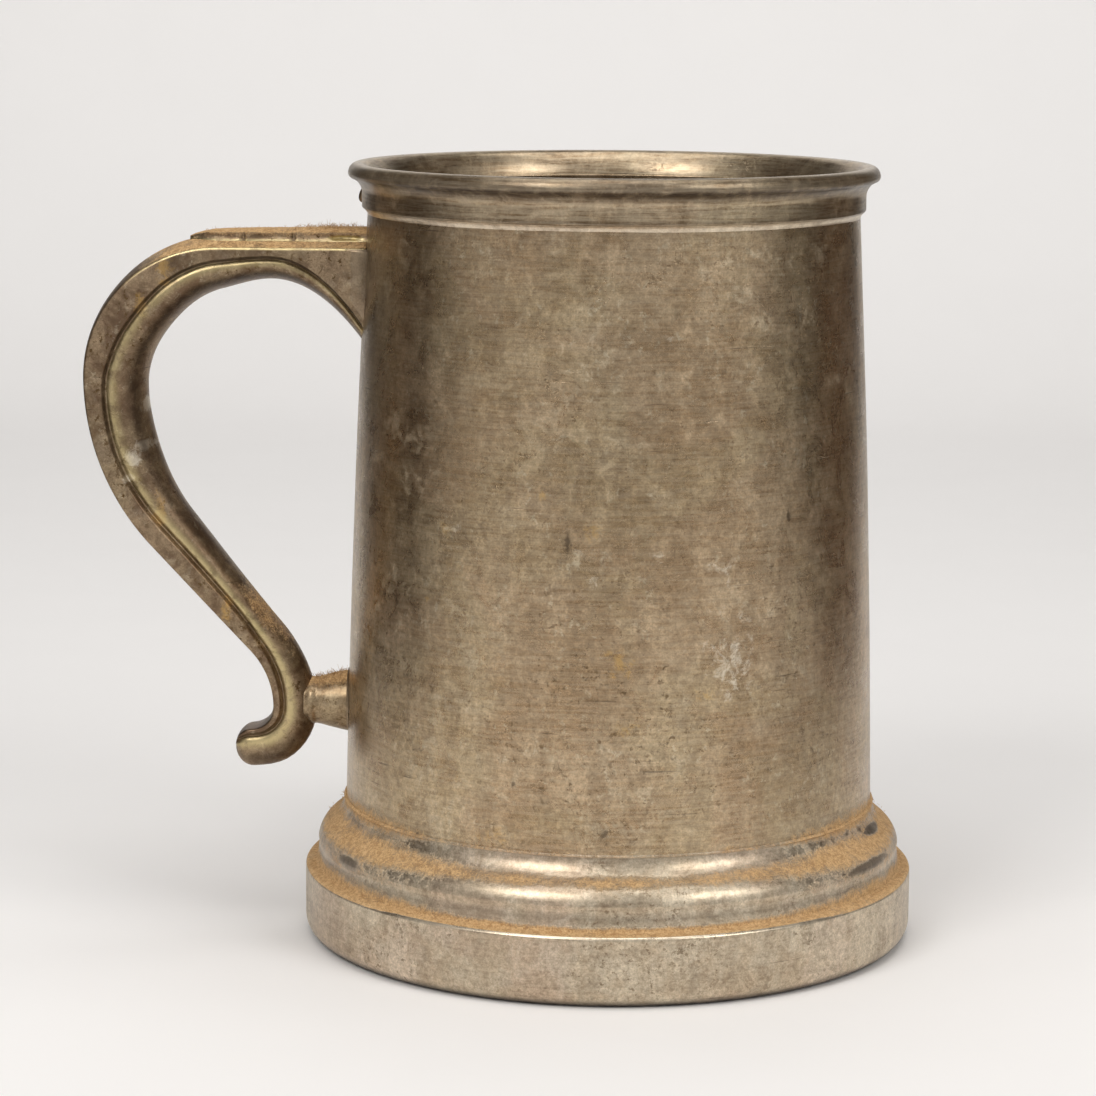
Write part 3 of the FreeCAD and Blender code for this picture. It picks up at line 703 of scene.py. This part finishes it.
def make_lip(material):
    """Band, cove, rolled lip and throat."""
    outline = traced([
        (39.0, 116.95), (BAND_R, BAND_LOW_Z), (BAND_R, 118.4), (BAND_R, 118.75), (BAND_R, 119.1),
        (BAND_R, BAND_HIGH_Z, 2.6, -1), (42.0, 122.7, 0.9, 1), (42.35, 123.8, 1.45, 1),
        (40.75, LIP_HIGH.z - 2 * BOX_MARGIN, 2.1, 1), (39.3, 124.35, 6.96, 1),
        (THROAT_R, 119.8), (THROAT_R, 119.0), (38.2, 119.0), (38.6, 121.02), (39.15, 121.02)],
        bevel=0.12)
    lathe("lip", outline, material, lip_dent, {"grime": lip_grime, "wear_and_highlight": lip_wear_and_highlight},
          slot="pewter_cast", replaces=("lip_band",))


def make_band_fillet(material):
    """Hollow fillet of solder under the band, lit all round by a painted highlight."""
    outline = traced([(39.1, 116.45), (39.27, 116.5, 1.5, -1), (39.95, 117.8), (39.6, 118.0),
                      (39.1, 117.5)], bevel=0.05)
    lathe("band_fillet", outline, material, slight_dents(0.04, 9, 6.6),
          {"wear_and_highlight": lambda x, y, z: 0.4}, slot="solder", replaces=("band_solder",))


PLINTH_R, PLINTH_INNER_R, NECK_INNER_R = FOOT_HIGH.x, 47.2, 45.1
LEDGE_Z, STEP_Z, NECK_Z = 11.7, 18.7, 22.6
EDGE_DUST_Z = 11.32  # dust on the plinth's top edge starts here at the front, lower at the sides
# places where the foot's dust is rubbed off: bearing, height, half width in degrees, half height
RUBBED_SPOTS = ((-60, 15.8, 4.5, 1.1), (62, 16.2, 9.0, 0.8), (74, 19.6, 6.0, 0.7))


def foot_rubbed(x, y, z):
    """Spots rubbed free of dust."""
    angle = bearing(x, y)
    return max(spot((angle - at) / wide, (z - up) / tall, 0.5, 1.2)
               for at, up, wide, tall in RUBBED_SPOTS)


def foot_dust(x, y, z):
    """Dust on the ledge, the step and the neck, with a film over all but the front."""
    side = side_dust(x, y)
    if hypot(x, y) < 42 or z < EDGE_DUST_Z - 0.3 * smoothstep(0.5, 0.9, side):
        return 0.0
    ledge = 1 - smoothstep(LEDGE_Z + 0.1, LEDGE_Z + 1.2 + 2.4 * side, z)
    step = bump_at(z, STEP_Z, 1.5 + 2.3 * side) * (0.72 + 0.28 * side)
    neck = smoothstep(NECK_Z - 0.6 - 2.6 * side, NECK_Z, z) * (0.45 + 0.55 * side)
    film = 0.45 * side * (1 - 0.5 * bump_at(z, 14, 1.5))
    return max(ledge, step, neck, film) * (1 - foot_rubbed(x, y, z))


def foot_grime(x, y, z):
    """Painted contact shadow where it stands on the table, darker on the wall above the ledge and
    on rubbed spots.
    """
    # painted contact shadow along the bottom
    at_table = 0.95 * (1 - smoothstep(0.2, 1.6, z))
    hollow = 0.3 * bump_at(z, 13.6, 1.0) * (hypot(x, y) > 47)
    return at_table + hollow + 0.7 * foot_rubbed(x, y, z)


def foot_highlight_and_wear(x, y, z):
    """Painted highlight with some wear along the plinth's top edge, and a faint painted highlight
    round the ovolo.
    """
    edge = bump_at(z, 11.2, 0.4) * smoothstep(48.9, 49.2, hypot(x, y))
    return 0.7 * edge + 0.15 * bump_at(z, 16.6, 0.8)


def make_foot(material):
    """Plinth, ledge, ovolo and cavetto, hollow underneath."""
    outline = traced([
        (45.6, 0.0), (46.9, 0.0, 2.9, 1), (PLINTH_R, 3.0), (PLINTH_R, 11.0), (49.1, 11.45),
        (47.7, LEDGE_Z), (47.3, 14.6), (47.45, 15.5, 4.2, 1), (45.6, 18.4),
        (45.3, STEP_Z, 4.6, -1), (42.9, 22.35), (42.5, 22.3), (42.5, 15.5),
        (NECK_INNER_R, 15.5), (NECK_INNER_R, 9.6), (PLINTH_INNER_R, 9.6),
        (PLINTH_INNER_R, 3.0)], bevel=0.3)
    lathe("foot", outline, material, slight_dents(0.12, 16, 8.7),
          {"dust": foot_dust, "grime": foot_grime, "wear_and_highlight": foot_highlight_and_wear},
          slot="pewter_cast", replaces=("foot_moulding",))


def make_foot_fillet(material):
    """Thin bead of solder where the foot meets the drum, under the dust."""
    outline = traced([(42.7, 22.0), (43.3, 22.19), (43.04, 22.32), (42.97, 22.55), (42.7, 22.5)],
                     bevel=0.05)
    lathe("foot_fillet", outline, material, slight_dents(0.04, 9, 2.2),
          {"dust": lambda x, y, z: 0.4 + 0.55 * side_dust(x, y)},
          slot="solder", replaces=("foot_solder",))


# ------------------------ handle
# The handle's line runs out from the drum to the shoulder, where its run is 0, round the
# shoulder, down the leg, round the ankle the other way and round the curl to the tip.
ROOT_X = 39.2
SHOULDER_X, SHOULDER_R = 63.1, 21.3
LEG_R, LEG_TURN, LEG_LENGTH = 39.6, radians(42.5), 23.4
ANKLE_R = 14.0
CURL_R, CURL_TURN = 4.0, radians(88)
KNOB = 2.9
WEB_START, WEB_SPREAD, WEB_GROOVE_SPREAD = 54.7, 11.0, 10.2
TIP_RUN = 102.7
# sections of the handle: run, depth, depth of the flat side, half width, rise of the crown
KEYS = [
    (-8.4, 5.3, 1.4, 6.75, 1.5), (1.0, 7.3, 2.2, 6.75, 1.5), (11.0, 9.2, 3.6, 6.7, 1.1),
    (18.5, 9.9, 4.3, 6.6, 0.8), (28.0, 9.9, 3.8, 6.5, 0.7), (34.5, 9.6, 3.0, 6.4, 0.65),
    (48.0, 9.2, 2.7, 6.2, 0.6), (63.0, 7.9, 3.0, 5.8, 0.55), (79.5, 6.5, 2.6, 5.2, 0.45),
    (89.0, 6.1, 1.5, 4.7, 0.35), (97.5, 6.9, 1.2, 4.2, 0.3), (100.5, 7.1, 1.0, 3.8, 0.25),
    (TIP_RUN, 6.6, 0.8, 3.4, 0.25)]


def key_at(run, field):
    """One field of the key sections at a run, on a smooth curve through them."""
    run = max(KEYS[0][0], min(KEYS[-1][0], run))
    i = next(k for k in range(len(KEYS) - 1) if run <= KEYS[k + 1][0])

    def slope(k):
        if k in (0, len(KEYS) - 1):
            return 0.0
        return (KEYS[k + 1][field] - KEYS[k - 1][field]) / (KEYS[k + 1][0] - KEYS[k - 1][0])

    length = KEYS[i + 1][0] - KEYS[i][0]
    t = (run - KEYS[i][0]) / length
    return (KEYS[i][field] * (1 + 2 * t) * (1 - t) ** 2 + slope(i) * length * t * (1 - t) ** 2
            + KEYS[i + 1][field] * t * t * (3 - 2 * t)
            + slope(i + 1) * length * t * t * (t - 1))


def strap_edge(run):
    """Distance out, height and heading of the strap's edge at a run from the shoulder."""
    out, up, heading = SHOULDER_X, STRAP_Z, 0.0
    if run < 0:
        return out + run, up, heading
    for length, turn in ((SHOULDER_R * pi / 2, pi / 2), (LEG_R * LEG_TURN, LEG_TURN),
                         (LEG_LENGTH, 0.0), (ANKLE_R * LEG_TURN, -LEG_TURN),
                         (CURL_R * CURL_TURN, -CURL_TURN), (KNOB, 0.0)):
        step = min(run, length)
        part = turn * step / length
        if part:
            radius = step / part
            out += radius * (sin(heading + part) - sin(heading))
            up += radius * (cos(heading + part) - cos(heading))
        else:
            out += step * cos(heading)
            up -= step * sin(heading)
        heading += part
        run -= step
        if run < 1e-9:
            break
    return out, up, heading


CROWN_STEPS, SIDE_STEPS, BEAD_STEPS = 8, 4, 24
NECK_INSET, BEAD_INSET = 1.25, 0.7  # from the half width
GROOVE_WIDTH = 0.35
BEAD_MIDDLE = 0.22  # where the bead is widest, as a share of its depth


def half_section(run):
    """One half of the section as (across, inwards, kind, share of the bead), crown first."""
    out = strap_edge(run)[0]
    drop = max(WEB_START - out, 0.0) ** 2 / 2
    depth = key_at(run, 1) + drop / WEB_SPREAD
    side = key_at(run, 2) + drop / WEB_GROOVE_SPREAD
    half, crown = key_at(run, 3), key_at(run, 4)
    edge = min(0.35, 0.3 * side)
    points = []
    for i in range(CROWN_STEPS + 1):
        across = (half - edge) * i / CROWN_STEPS
        points.append((across, -crown * (1 - (across / half) ** 2), "crown", 0))
    points += [(half - 0.3 * edge, 0.22 * edge, "edge", 0), (half, edge, "side", 0)]
    for i in range(1, SIDE_STEPS + 1):
        points.append((half, edge + (side - 1.9 * edge) * i / SIDE_STEPS, "side", 0))
    neck, start = half - NECK_INSET, side + GROOVE_WIDTH
    points += [(half, side - 0.3, "side", 0), (half - 0.3, side - 0.04, "groove", 0),
               (neck + 0.45, start - 0.14, "groove", 0), (neck, start, "side", 0)]
    bead_half = half - BEAD_INSET
    middle = start + (depth - start) * BEAD_MIDDLE
    lift = acos(neck / bead_half)
    for i in range(1, BEAD_STEPS + 1):
        turn = -lift + (pi / 2 + lift) * i / BEAD_STEPS
        reach = depth - middle if turn > 0 else (middle - start) / sin(lift)
        inward = middle + reach * sin(turn)
        points.append((bead_half * cos(turn), inward, "bead",
                       (inward - start) / (depth - start)))
    return points, depth


# the handle's stains by kind: distance out from the axis, height, half width, half height
HANDLE_STAINS = {
    "rust": [(71.3, 108.6, 2.6, 1.7), (71.2, 105.8, 1.6, 1.0), (75, 102, 1.5, 3),
             (62, 53, 1.2, 3.0), (72.5, 69, 1.4, 4.0)],
    "chalk": [(74.6, 86.0, 1.3, 1.9), (74.6, 79.6, 2.0, 1.4), (77.0, 77.6, 1.9, 1.8),
              (77.4, 74.3, 1.0, 0.8)]}
HANDLE_STATIONS, TIP_STATIONS = 250, 8
STRUT_RUN = 83  # where the strut meets the handle


def handle_marks_and_shading(run, heading, kind, share):
    """Dust, grime with painted shade, and wear with painted highlights, of a place on the handle.
    """
    low_leg = smoothstep(55, 75, run)
    dust = 0.8 * bump_at(run, STRUT_RUN, 11) * smoothstep(0.3, 0.75, share)
    grime, wear_and_highlight = 0.14 * (1 - low_leg), 0.0
    if kind == "crown" and run < 20:
        dust = max(dust, 0.85 * smoothstep(0.7, 0.99, cos(heading)))
    # bare metal and a painted highlight along the strap's top edge near the top
    elif kind == "edge":
        wear_and_highlight = 1 - smoothstep(10, 18, run)
    # grime and painted shade in the groove, fading down the leg
    elif kind == "groove":
        grime = 0.95 - 0.8 * smoothstep(40, 62, run)
    elif kind == "bead":
        # painted shade on the bead's inner side, turned from the light
        grime = 0.1 + (0.8 - 0.3 * low_leg) * bump_at(share, 0.7, 0.27)
        # painted highlight, with some wear, on the bead's shoulder by the groove
        bright = 0.12 + 0.08 * smoothstep(50, 66, run)
        wear_and_highlight = (0.5 + 0.15 * low_leg) * bump_at(share, bright, 0.3)
    return {"dust": dust, "grime": grime, "wear_and_highlight": wear_and_highlight}


def handle_stain(kind, x, z):
    """How much of one kind of stain lies at a place on the handle."""
    return max(spot((x + out) / wide, (z - up) / tall, 0.1, 1.3)
               for out, up, wide, tall in HANDLE_STAINS[kind])


def make_handle(material):
    """Scroll handle swept through its sections, with a rounded tail."""
    root = ROOT_X - SHOULDER_X
    stations = [(root + (TIP_RUN - root) * i / HANDLE_STATIONS, 1.0)
                for i in range(HANDLE_STATIONS + 1)]
    for i in range(1, TIP_STATIONS + 1):
        turn = pi / 2 * i / (TIP_STATIONS + 1)
        stations.append((TIP_RUN + KNOB * sin(turn), cos(turn)))
    points = []
    masks = {name: [] for name in ("dust", "grime", "wear_and_highlight", *HANDLE_STAINS)}
    for run, scale in stations:
        out, up, heading = strap_edge(run)
        half, depth = half_section(min(run, TIP_RUN))
        ring = half + [(-across, *rest) for across, *rest in reversed(half[1:-1])]
        for across, inward, kind, share in ring:
            inward = depth / 2 + (inward - depth / 2) * scale
            across *= scale
            x = max(-(out - inward * sin(heading)), HANDLE_LOW.x + BOX_MARGIN)
            z = up - inward * cos(heading)
            rough = 0.05 * drift(x, across, z, 2.4, 1.7) + 0.07 * drift(x, across, z, 9, 4.4)
            points.append((x, across * (1 - 0.006 - rough / 20), z))
            for name, value in handle_marks_and_shading(run, heading, kind, share).items():
                masks[name].append(value)
            for name in HANDLE_STAINS:
                masks[name].append(handle_stain(name, x, z))
    around = len(points) // len(stations)
    new_piece("scroll_handle", points, tube_faces(len(stations), around, True), material,
              masks.items(), slot="pewter_handle", replaces=("handle",))


# ------------------------ thumb rest, strut and lump
REST_ROOT, REST_BASE_Z, REST_STEP_Z, REST_EDGE_Z = 38.9, 111.3, 112.4, 113.75
# distance out from the axis, height of the rest's ridge there
REST_RIDGE = [(REST_ROOT, 114.6), (45.6, 114.55), (50.0, 114.4), (57.0, 114.3), (61.5, 114.15),
              (64.0, 114.0), (65.7, 113.7), (67.0, 113.35), (67.8, 112.95)]
REST_NOTCHES = (50.9, 58.9)
NOTCH_HALF, NOTCH_DEPTH, SCOOP_DEPTH, FLUTE_DEPTH = 0.55, 0.5, 0.32, 0.5
# the flute's middle and half length along the rest, its height and half height
FLUTE_OUT, FLUTE_HALF_LENGTH, FLUTE_Z, FLUTE_HALF_HEIGHT = 42.65, 2.85, 112.95, 0.42
REST_STATIONS, REST_SIDE_STEPS, REST_TOP_STEPS = 190, 12, 8


def ridge_at(out):
    """Height of the rest's ridge at a distance out from the axis."""
    for (near, low), (far, high) in zip(REST_RIDGE, REST_RIDGE[1:]):
        if out <= far:
            return low + (high - low) * (out - near) / (far - near)
    return REST_RIDGE[-1][1]


def rest_side(out, half, scoop, notch, edge):
    """Near side of the rest, from its foot up to the edge, as (across, height, dust, wear with
    painted highlight).
    """
    side = []
    for k in range(REST_SIDE_STEPS + 1):
        z = REST_BASE_Z + (edge - REST_BASE_Z) * k / REST_SIDE_STEPS
        from_flute = hypot((out - FLUTE_OUT) / FLUTE_HALF_LENGTH,
                           (z - FLUTE_Z) / FLUTE_HALF_HEIGHT)
        hollow = scoop * bump_at(z, 113.1, 0.8)
        hollow += NOTCH_DEPTH * notch * smoothstep(REST_STEP_Z, 112.9, z)
        hollow += FLUTE_DEPTH * (1 - smoothstep(0.55, 1.05, from_flute))
        lean = 0.28 * smoothstep(112.2, edge, z)
        # painted highlight lines on each panel's lower lip and round the flute's rim
        wear_and_highlight = max(0.6 * bump_at(z, 112.6, 0.3) * (1 - notch),
                   0.9 * (1 - smoothstep(0.8, 1.2, from_flute)))
        dust = 0.8 if z < REST_STEP_Z else 0.3 + 0.3 * smoothstep(113.2, 113.7, z)
        side.append((max(0.25, half - lean - hollow), z, dust * (1 - wear_and_highlight), wear_and_highlight))
    return side


def make_thumb_rest(material):
    """Raised bar on the strap in three scooped panels, with a flute in the one by the drum."""
    nose = -REST_LOW.x
    ends = (REST_ROOT, *REST_NOTCHES, nose)
    panels = list(zip(ends, ends[1:]))
    points, dust, grime, wear_and_highlight = [], [], [], []
    for i in range(REST_STATIONS + 1):
        out = REST_ROOT + (nose - REST_ROOT) * i / REST_STATIONS
        half = REST_HIGH.y * sqrt(max(0.02, 1 - smoothstep(61, nose + 0.4, out) ** 2))
        notch = max(bump_at(out, at, NOTCH_HALF) for at in REST_NOTCHES)
        near, far = next((panel for panel in panels if out <= panel[1]), panels[-1])
        scoop = SCOOP_DEPTH * sin(pi * (out - near) / (far - near))
        ridge = ridge_at(out)
        edge = min(REST_EDGE_Z, ridge - 0.15)
        profile = rest_side(out, half, scoop, notch, edge)
        shoulder = profile[-1][0]
        for k in range(1, REST_TOP_STEPS + 1):
            across = shoulder * (1 - k / REST_TOP_STEPS)
            profile.append((across, ridge - (ridge - edge) * (across / shoulder) ** 3, 1.0, 0.0))
        ring = [(-across, *rest) for across, *rest in profile] + list(reversed(profile[:-1]))
        for across, z, dusty, worn_and_lit in ring:
            points.append((-out, across, z - abs(0.06 * drift(-out, across, z, 1.6, 6.1))))
            dust.append(dusty)
            # painted shade in the notches between the panels
            grime.append(0.6 * notch * (REST_STEP_Z < z < edge + 0.1))
            wear_and_highlight.append(worn_and_lit)
    new_piece("thumb_bar", points, tube_faces(REST_STATIONS + 1, len(ring), True), material,
              (("dust", dust), ("grime", grime), ("wear_and_highlight", wear_and_highlight)),
              slot="pewter_handle", replaces=("thumb_rest",))


STRUT_Z = (STRUT_LOW.z + STRUT_HIGH.z) / 2
STRUT_OVERLAP, STRUT_LENGTH = 0.6, 8.6
STRUT_TIP_R, STRUT_FLARE, STRUT_BEAD = 3.25, 1.95, 0.25


def make_strut(material):
    """Tapered strut from the handle into the drum, dusty on top."""
    around, rings = 72, 40
    points, dust = [], []
    for i in range(rings):
        share = i / (rings - 1)
        x = STRUT_LOW.x - STRUT_OVERLAP + share * STRUT_LENGTH
        radius = STRUT_TIP_R + STRUT_FLARE * smoothstep(-0.25, 1.1, share) \
            + STRUT_BEAD * bump_at(share, 0.14, 0.12)
        for k in range(around):
            angle = 2 * pi * k / around
            r = radius - 0.07 * (0.5 + drift(x, 3 * cos(angle), 3 * sin(angle), 1.8, 2))
            points.append((x, r * cos(angle), STRUT_Z + r * sin(angle)))
            dust.append(smoothstep(0.45, 0.95, sin(angle)))
    new_piece("strut", points, tube_faces(rings, around, True), material, (("dust", dust),),
              slot="pewter_handle", replaces=("handle_strut",))


# the flare starts this far out, behind the drum's wall, and lies against the web's side
FLARE_ROOT, FLARE_BACK, WEB_HALF, WEB_CORE = 38.35, 37.9, 6.66, 6.0


def make_root_flare(material):
    """Solder that flares from both sides of the handle's web onto the drum."""
    rings, steps = 26, 12
    low, high = FLARE_LOW.z, STRAP_Z - 0.05
    points, faces = [], []
    for hand in (-1, 1):
        first = len(points)
        for i in range(rings):
            share = i / (rings - 1)
            z = low + (high - low) * share
            reach = 1.4 + 2.7 * smoothstep(0.0, 0.4, share)
            swell = 2.0 * smoothstep(-0.05, 0.35, share) * (1 - 0.35 * smoothstep(0.9, 1.0, share))
            ring = []
            for k in range(steps):
                t = k / (steps - 1)
                x = -(FLARE_ROOT + reach * t)
                wobble = 0.1 * drift(x, z, hand, 2.2, 9.1)
                ring.append((x, hand * (WEB_HALF + (swell + wobble) * (1 - t) ** 2.2), z))
            ring += [(-(FLARE_ROOT + reach), hand * WEB_CORE, z),
                     (-FLARE_BACK, hand * WEB_CORE, z)]
            points += ring if hand > 0 else list(reversed(ring))
        faces += [tuple(first + v for v in face)
                  for face in tube_faces(rings, steps + 2, True)]
    new_piece("root_flare", points, faces, material, (("wear_and_highlight", [0.1] * len(points)),),
              slot="solder", replaces=("root_solder",))


LUMP_OUT, LUMP_THICK, LUMP_HALF, LUMP_BELOW, LUMP_HEIGHT = 40.0, 0.8, 1.1, 1.0, 2.7


def make_lump(material):
    """Pointed lump on the band above the handle, heaviest near its lower end."""
    around, rings = 28, 18
    centre = (BLOB_LOW + BLOB_HIGH) / 2
    points = []
    for i in range(rings):
        share = (i + 0.5) / rings
        z = centre.z - LUMP_BELOW + LUMP_HEIGHT * share
        swell = sin(pi * min(1.0, share ** 0.62)) ** 0.7
        for k in range(around):
            angle = 2 * pi * k / around
            points.append((-LUMP_OUT - LUMP_THICK * swell * cos(angle),
                           LUMP_HALF * swell * sin(angle), z))
    new_piece("band_lump", points, tube_faces(rings, around, True), material,
              slot="solder", replaces=("band_joint_solder",))


FIBRE_POINTS, FIBRE_SIDES, FIBRE_RADIUS = 5, 3, 0.035
# fibres on the foot's ledges: radius, height, tries, length
FOOT_LINT = ((43.6, 21.2, 260, 0.4), (45.7, STEP_Z, 300, 0.4), (48.2, LEDGE_Z, 300, 0.4))


def lint_starts():
    """Place and length of each fibre, on the rest, the strut and the foot's ledges."""
    starts = []
    for _ in range(230):
        out = random.triangular(39.6, 52.0, 45.5)
        starts.append((Vector((-out, random.uniform(-3.5, 3.5), ridge_at(out) - 0.1)), 0.75))
    for _ in range(170):
        out = random.uniform(45, 66)
        starts.append((Vector((-out, random.uniform(-3.2, 3.2), ridge_at(out) - 0.15)), 0.4))
    for _ in range(330):
        x, lean = random.uniform(-48.2, -43.0), random.uniform(-1.0, 1.0)
        radius = 3.3 + 1.9 * (x + 49.2) / 7
        place = Vector((x, radius * sin(lean), STRUT_Z + radius * cos(lean)))
        starts.append((place, 0.8))
    for radius, height, tries, length in FOOT_LINT:
        for _ in range(tries):
            angle = random.uniform(0, 2 * pi)
            place = Vector((radius * cos(angle), radius * sin(angle), height))
            if random.random() < side_dust(place.x, place.y):
                starts.append((place, length))
    return starts


def fibre(place, size):
    """Rings of points of one bent, tapering fibre."""
    heading = Vector((random.uniform(-1, 1), random.uniform(-1, 1), random.uniform(0.2, 1.1)))
    heading.normalize()
    bend = Vector((random.uniform(-1, 1), random.uniform(-1, 1), random.uniform(-0.8, 0.3)))
    length = size * random.uniform(0.5, 1.5)
    side = heading.orthogonal().normalized()
    other = heading.cross(side)
    points = []
    for i in range(FIBRE_POINTS):
        along = i / (FIBRE_POINTS - 1)
        middle = place + heading * length * along + bend * length * 0.45 * along ** 2
        for k in range(FIBRE_SIDES):
            turn = 2 * pi * k / FIBRE_SIDES
            points.append(middle + FIBRE_RADIUS * (1 - 0.6 * along)
                          * (side * cos(turn) + other * sin(turn)))
    return points


def make_lint(material):
    """Short fibres of dust."""
    points, faces = [], []
    for place, size in lint_starts():
        faces += [tuple(len(points) + v for v in face)
                  for face in tube_faces(FIBRE_POINTS, FIBRE_SIDES, True)]
        points += fibre(place, size)
    new_piece("lint", points, faces, material)


# ------------------------ run it
# each finish: its metal's light and dark colour, then its character
FINISHES = {
    "drum_pewter": (srgb(232, 211, 177), srgb(200, 175, 140), {"roughness": 0.28}),
    "cast_pewter": (srgb(252, 242, 224), srgb(226, 210, 188), {
        "blotch": 0.6, "roughness": 0.35}),
    "lip_pewter": (srgb(226, 208, 176), srgb(168, 148, 118), {
        "lines": 2.0, "speckle": 0.9, "blotch": 0.4, "roughness": 0.31}),
    "handle_pewter": (srgb(200, 181, 152), srgb(134, 113, 94), {
        "lines": 0.0, "speckle": 1.7, "blotch": 0.6, "roughness": 0.4,
        "rubbed_and_highlight": srgb(228, 210, 156)}),
    "strut_pewter": (srgb(218, 200, 168), srgb(156, 136, 108), {
        "lines": 0.0, "speckle": 1.1, "blotch": 0.5, "roughness": 0.34}),
    "solder_grey": (srgb(196, 180, 156), srgb(158, 140, 116), {
        "lines": 0.0, "speckle": 0.3, "blotch": 0.3, "roughness": 0.4}),
    "flare_solder": (srgb(160, 142, 118), srgb(126, 108, 90), {
        "lines": 0.0, "speckle": 0.6, "blotch": 0.3, "roughness": 0.36})}


def main():
    """Set the stage, build every piece and give the CAD nodes that show their finish."""
    add_camera()
    add_sweep()
    add_light()
    finish = {name: Pewter(name, light, dark, **character).material
              for name, (light, dark, character) in FINISHES.items()}
    make_drum(finish["drum_pewter"])
    make_lip(finish["lip_pewter"])
    make_band_fillet(finish["cast_pewter"])
    make_foot(finish["cast_pewter"])
    make_foot_fillet(finish["cast_pewter"])
    make_handle(finish["handle_pewter"])
    make_thumb_rest(finish["handle_pewter"])
    make_strut(finish["strut_pewter"])
    make_root_flare(finish["flare_solder"])
    make_lump(finish["solder_grey"])
    make_lint(matte("lint", 0.95, DUST_SHADE, DUST, 0.6))
    for name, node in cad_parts.items():
        if not node.hide_render:
            node.data.materials.clear()
            node.data.materials.append(
                finish["drum_pewter" if name == "floor_disc" else "solder_grey"])


main()
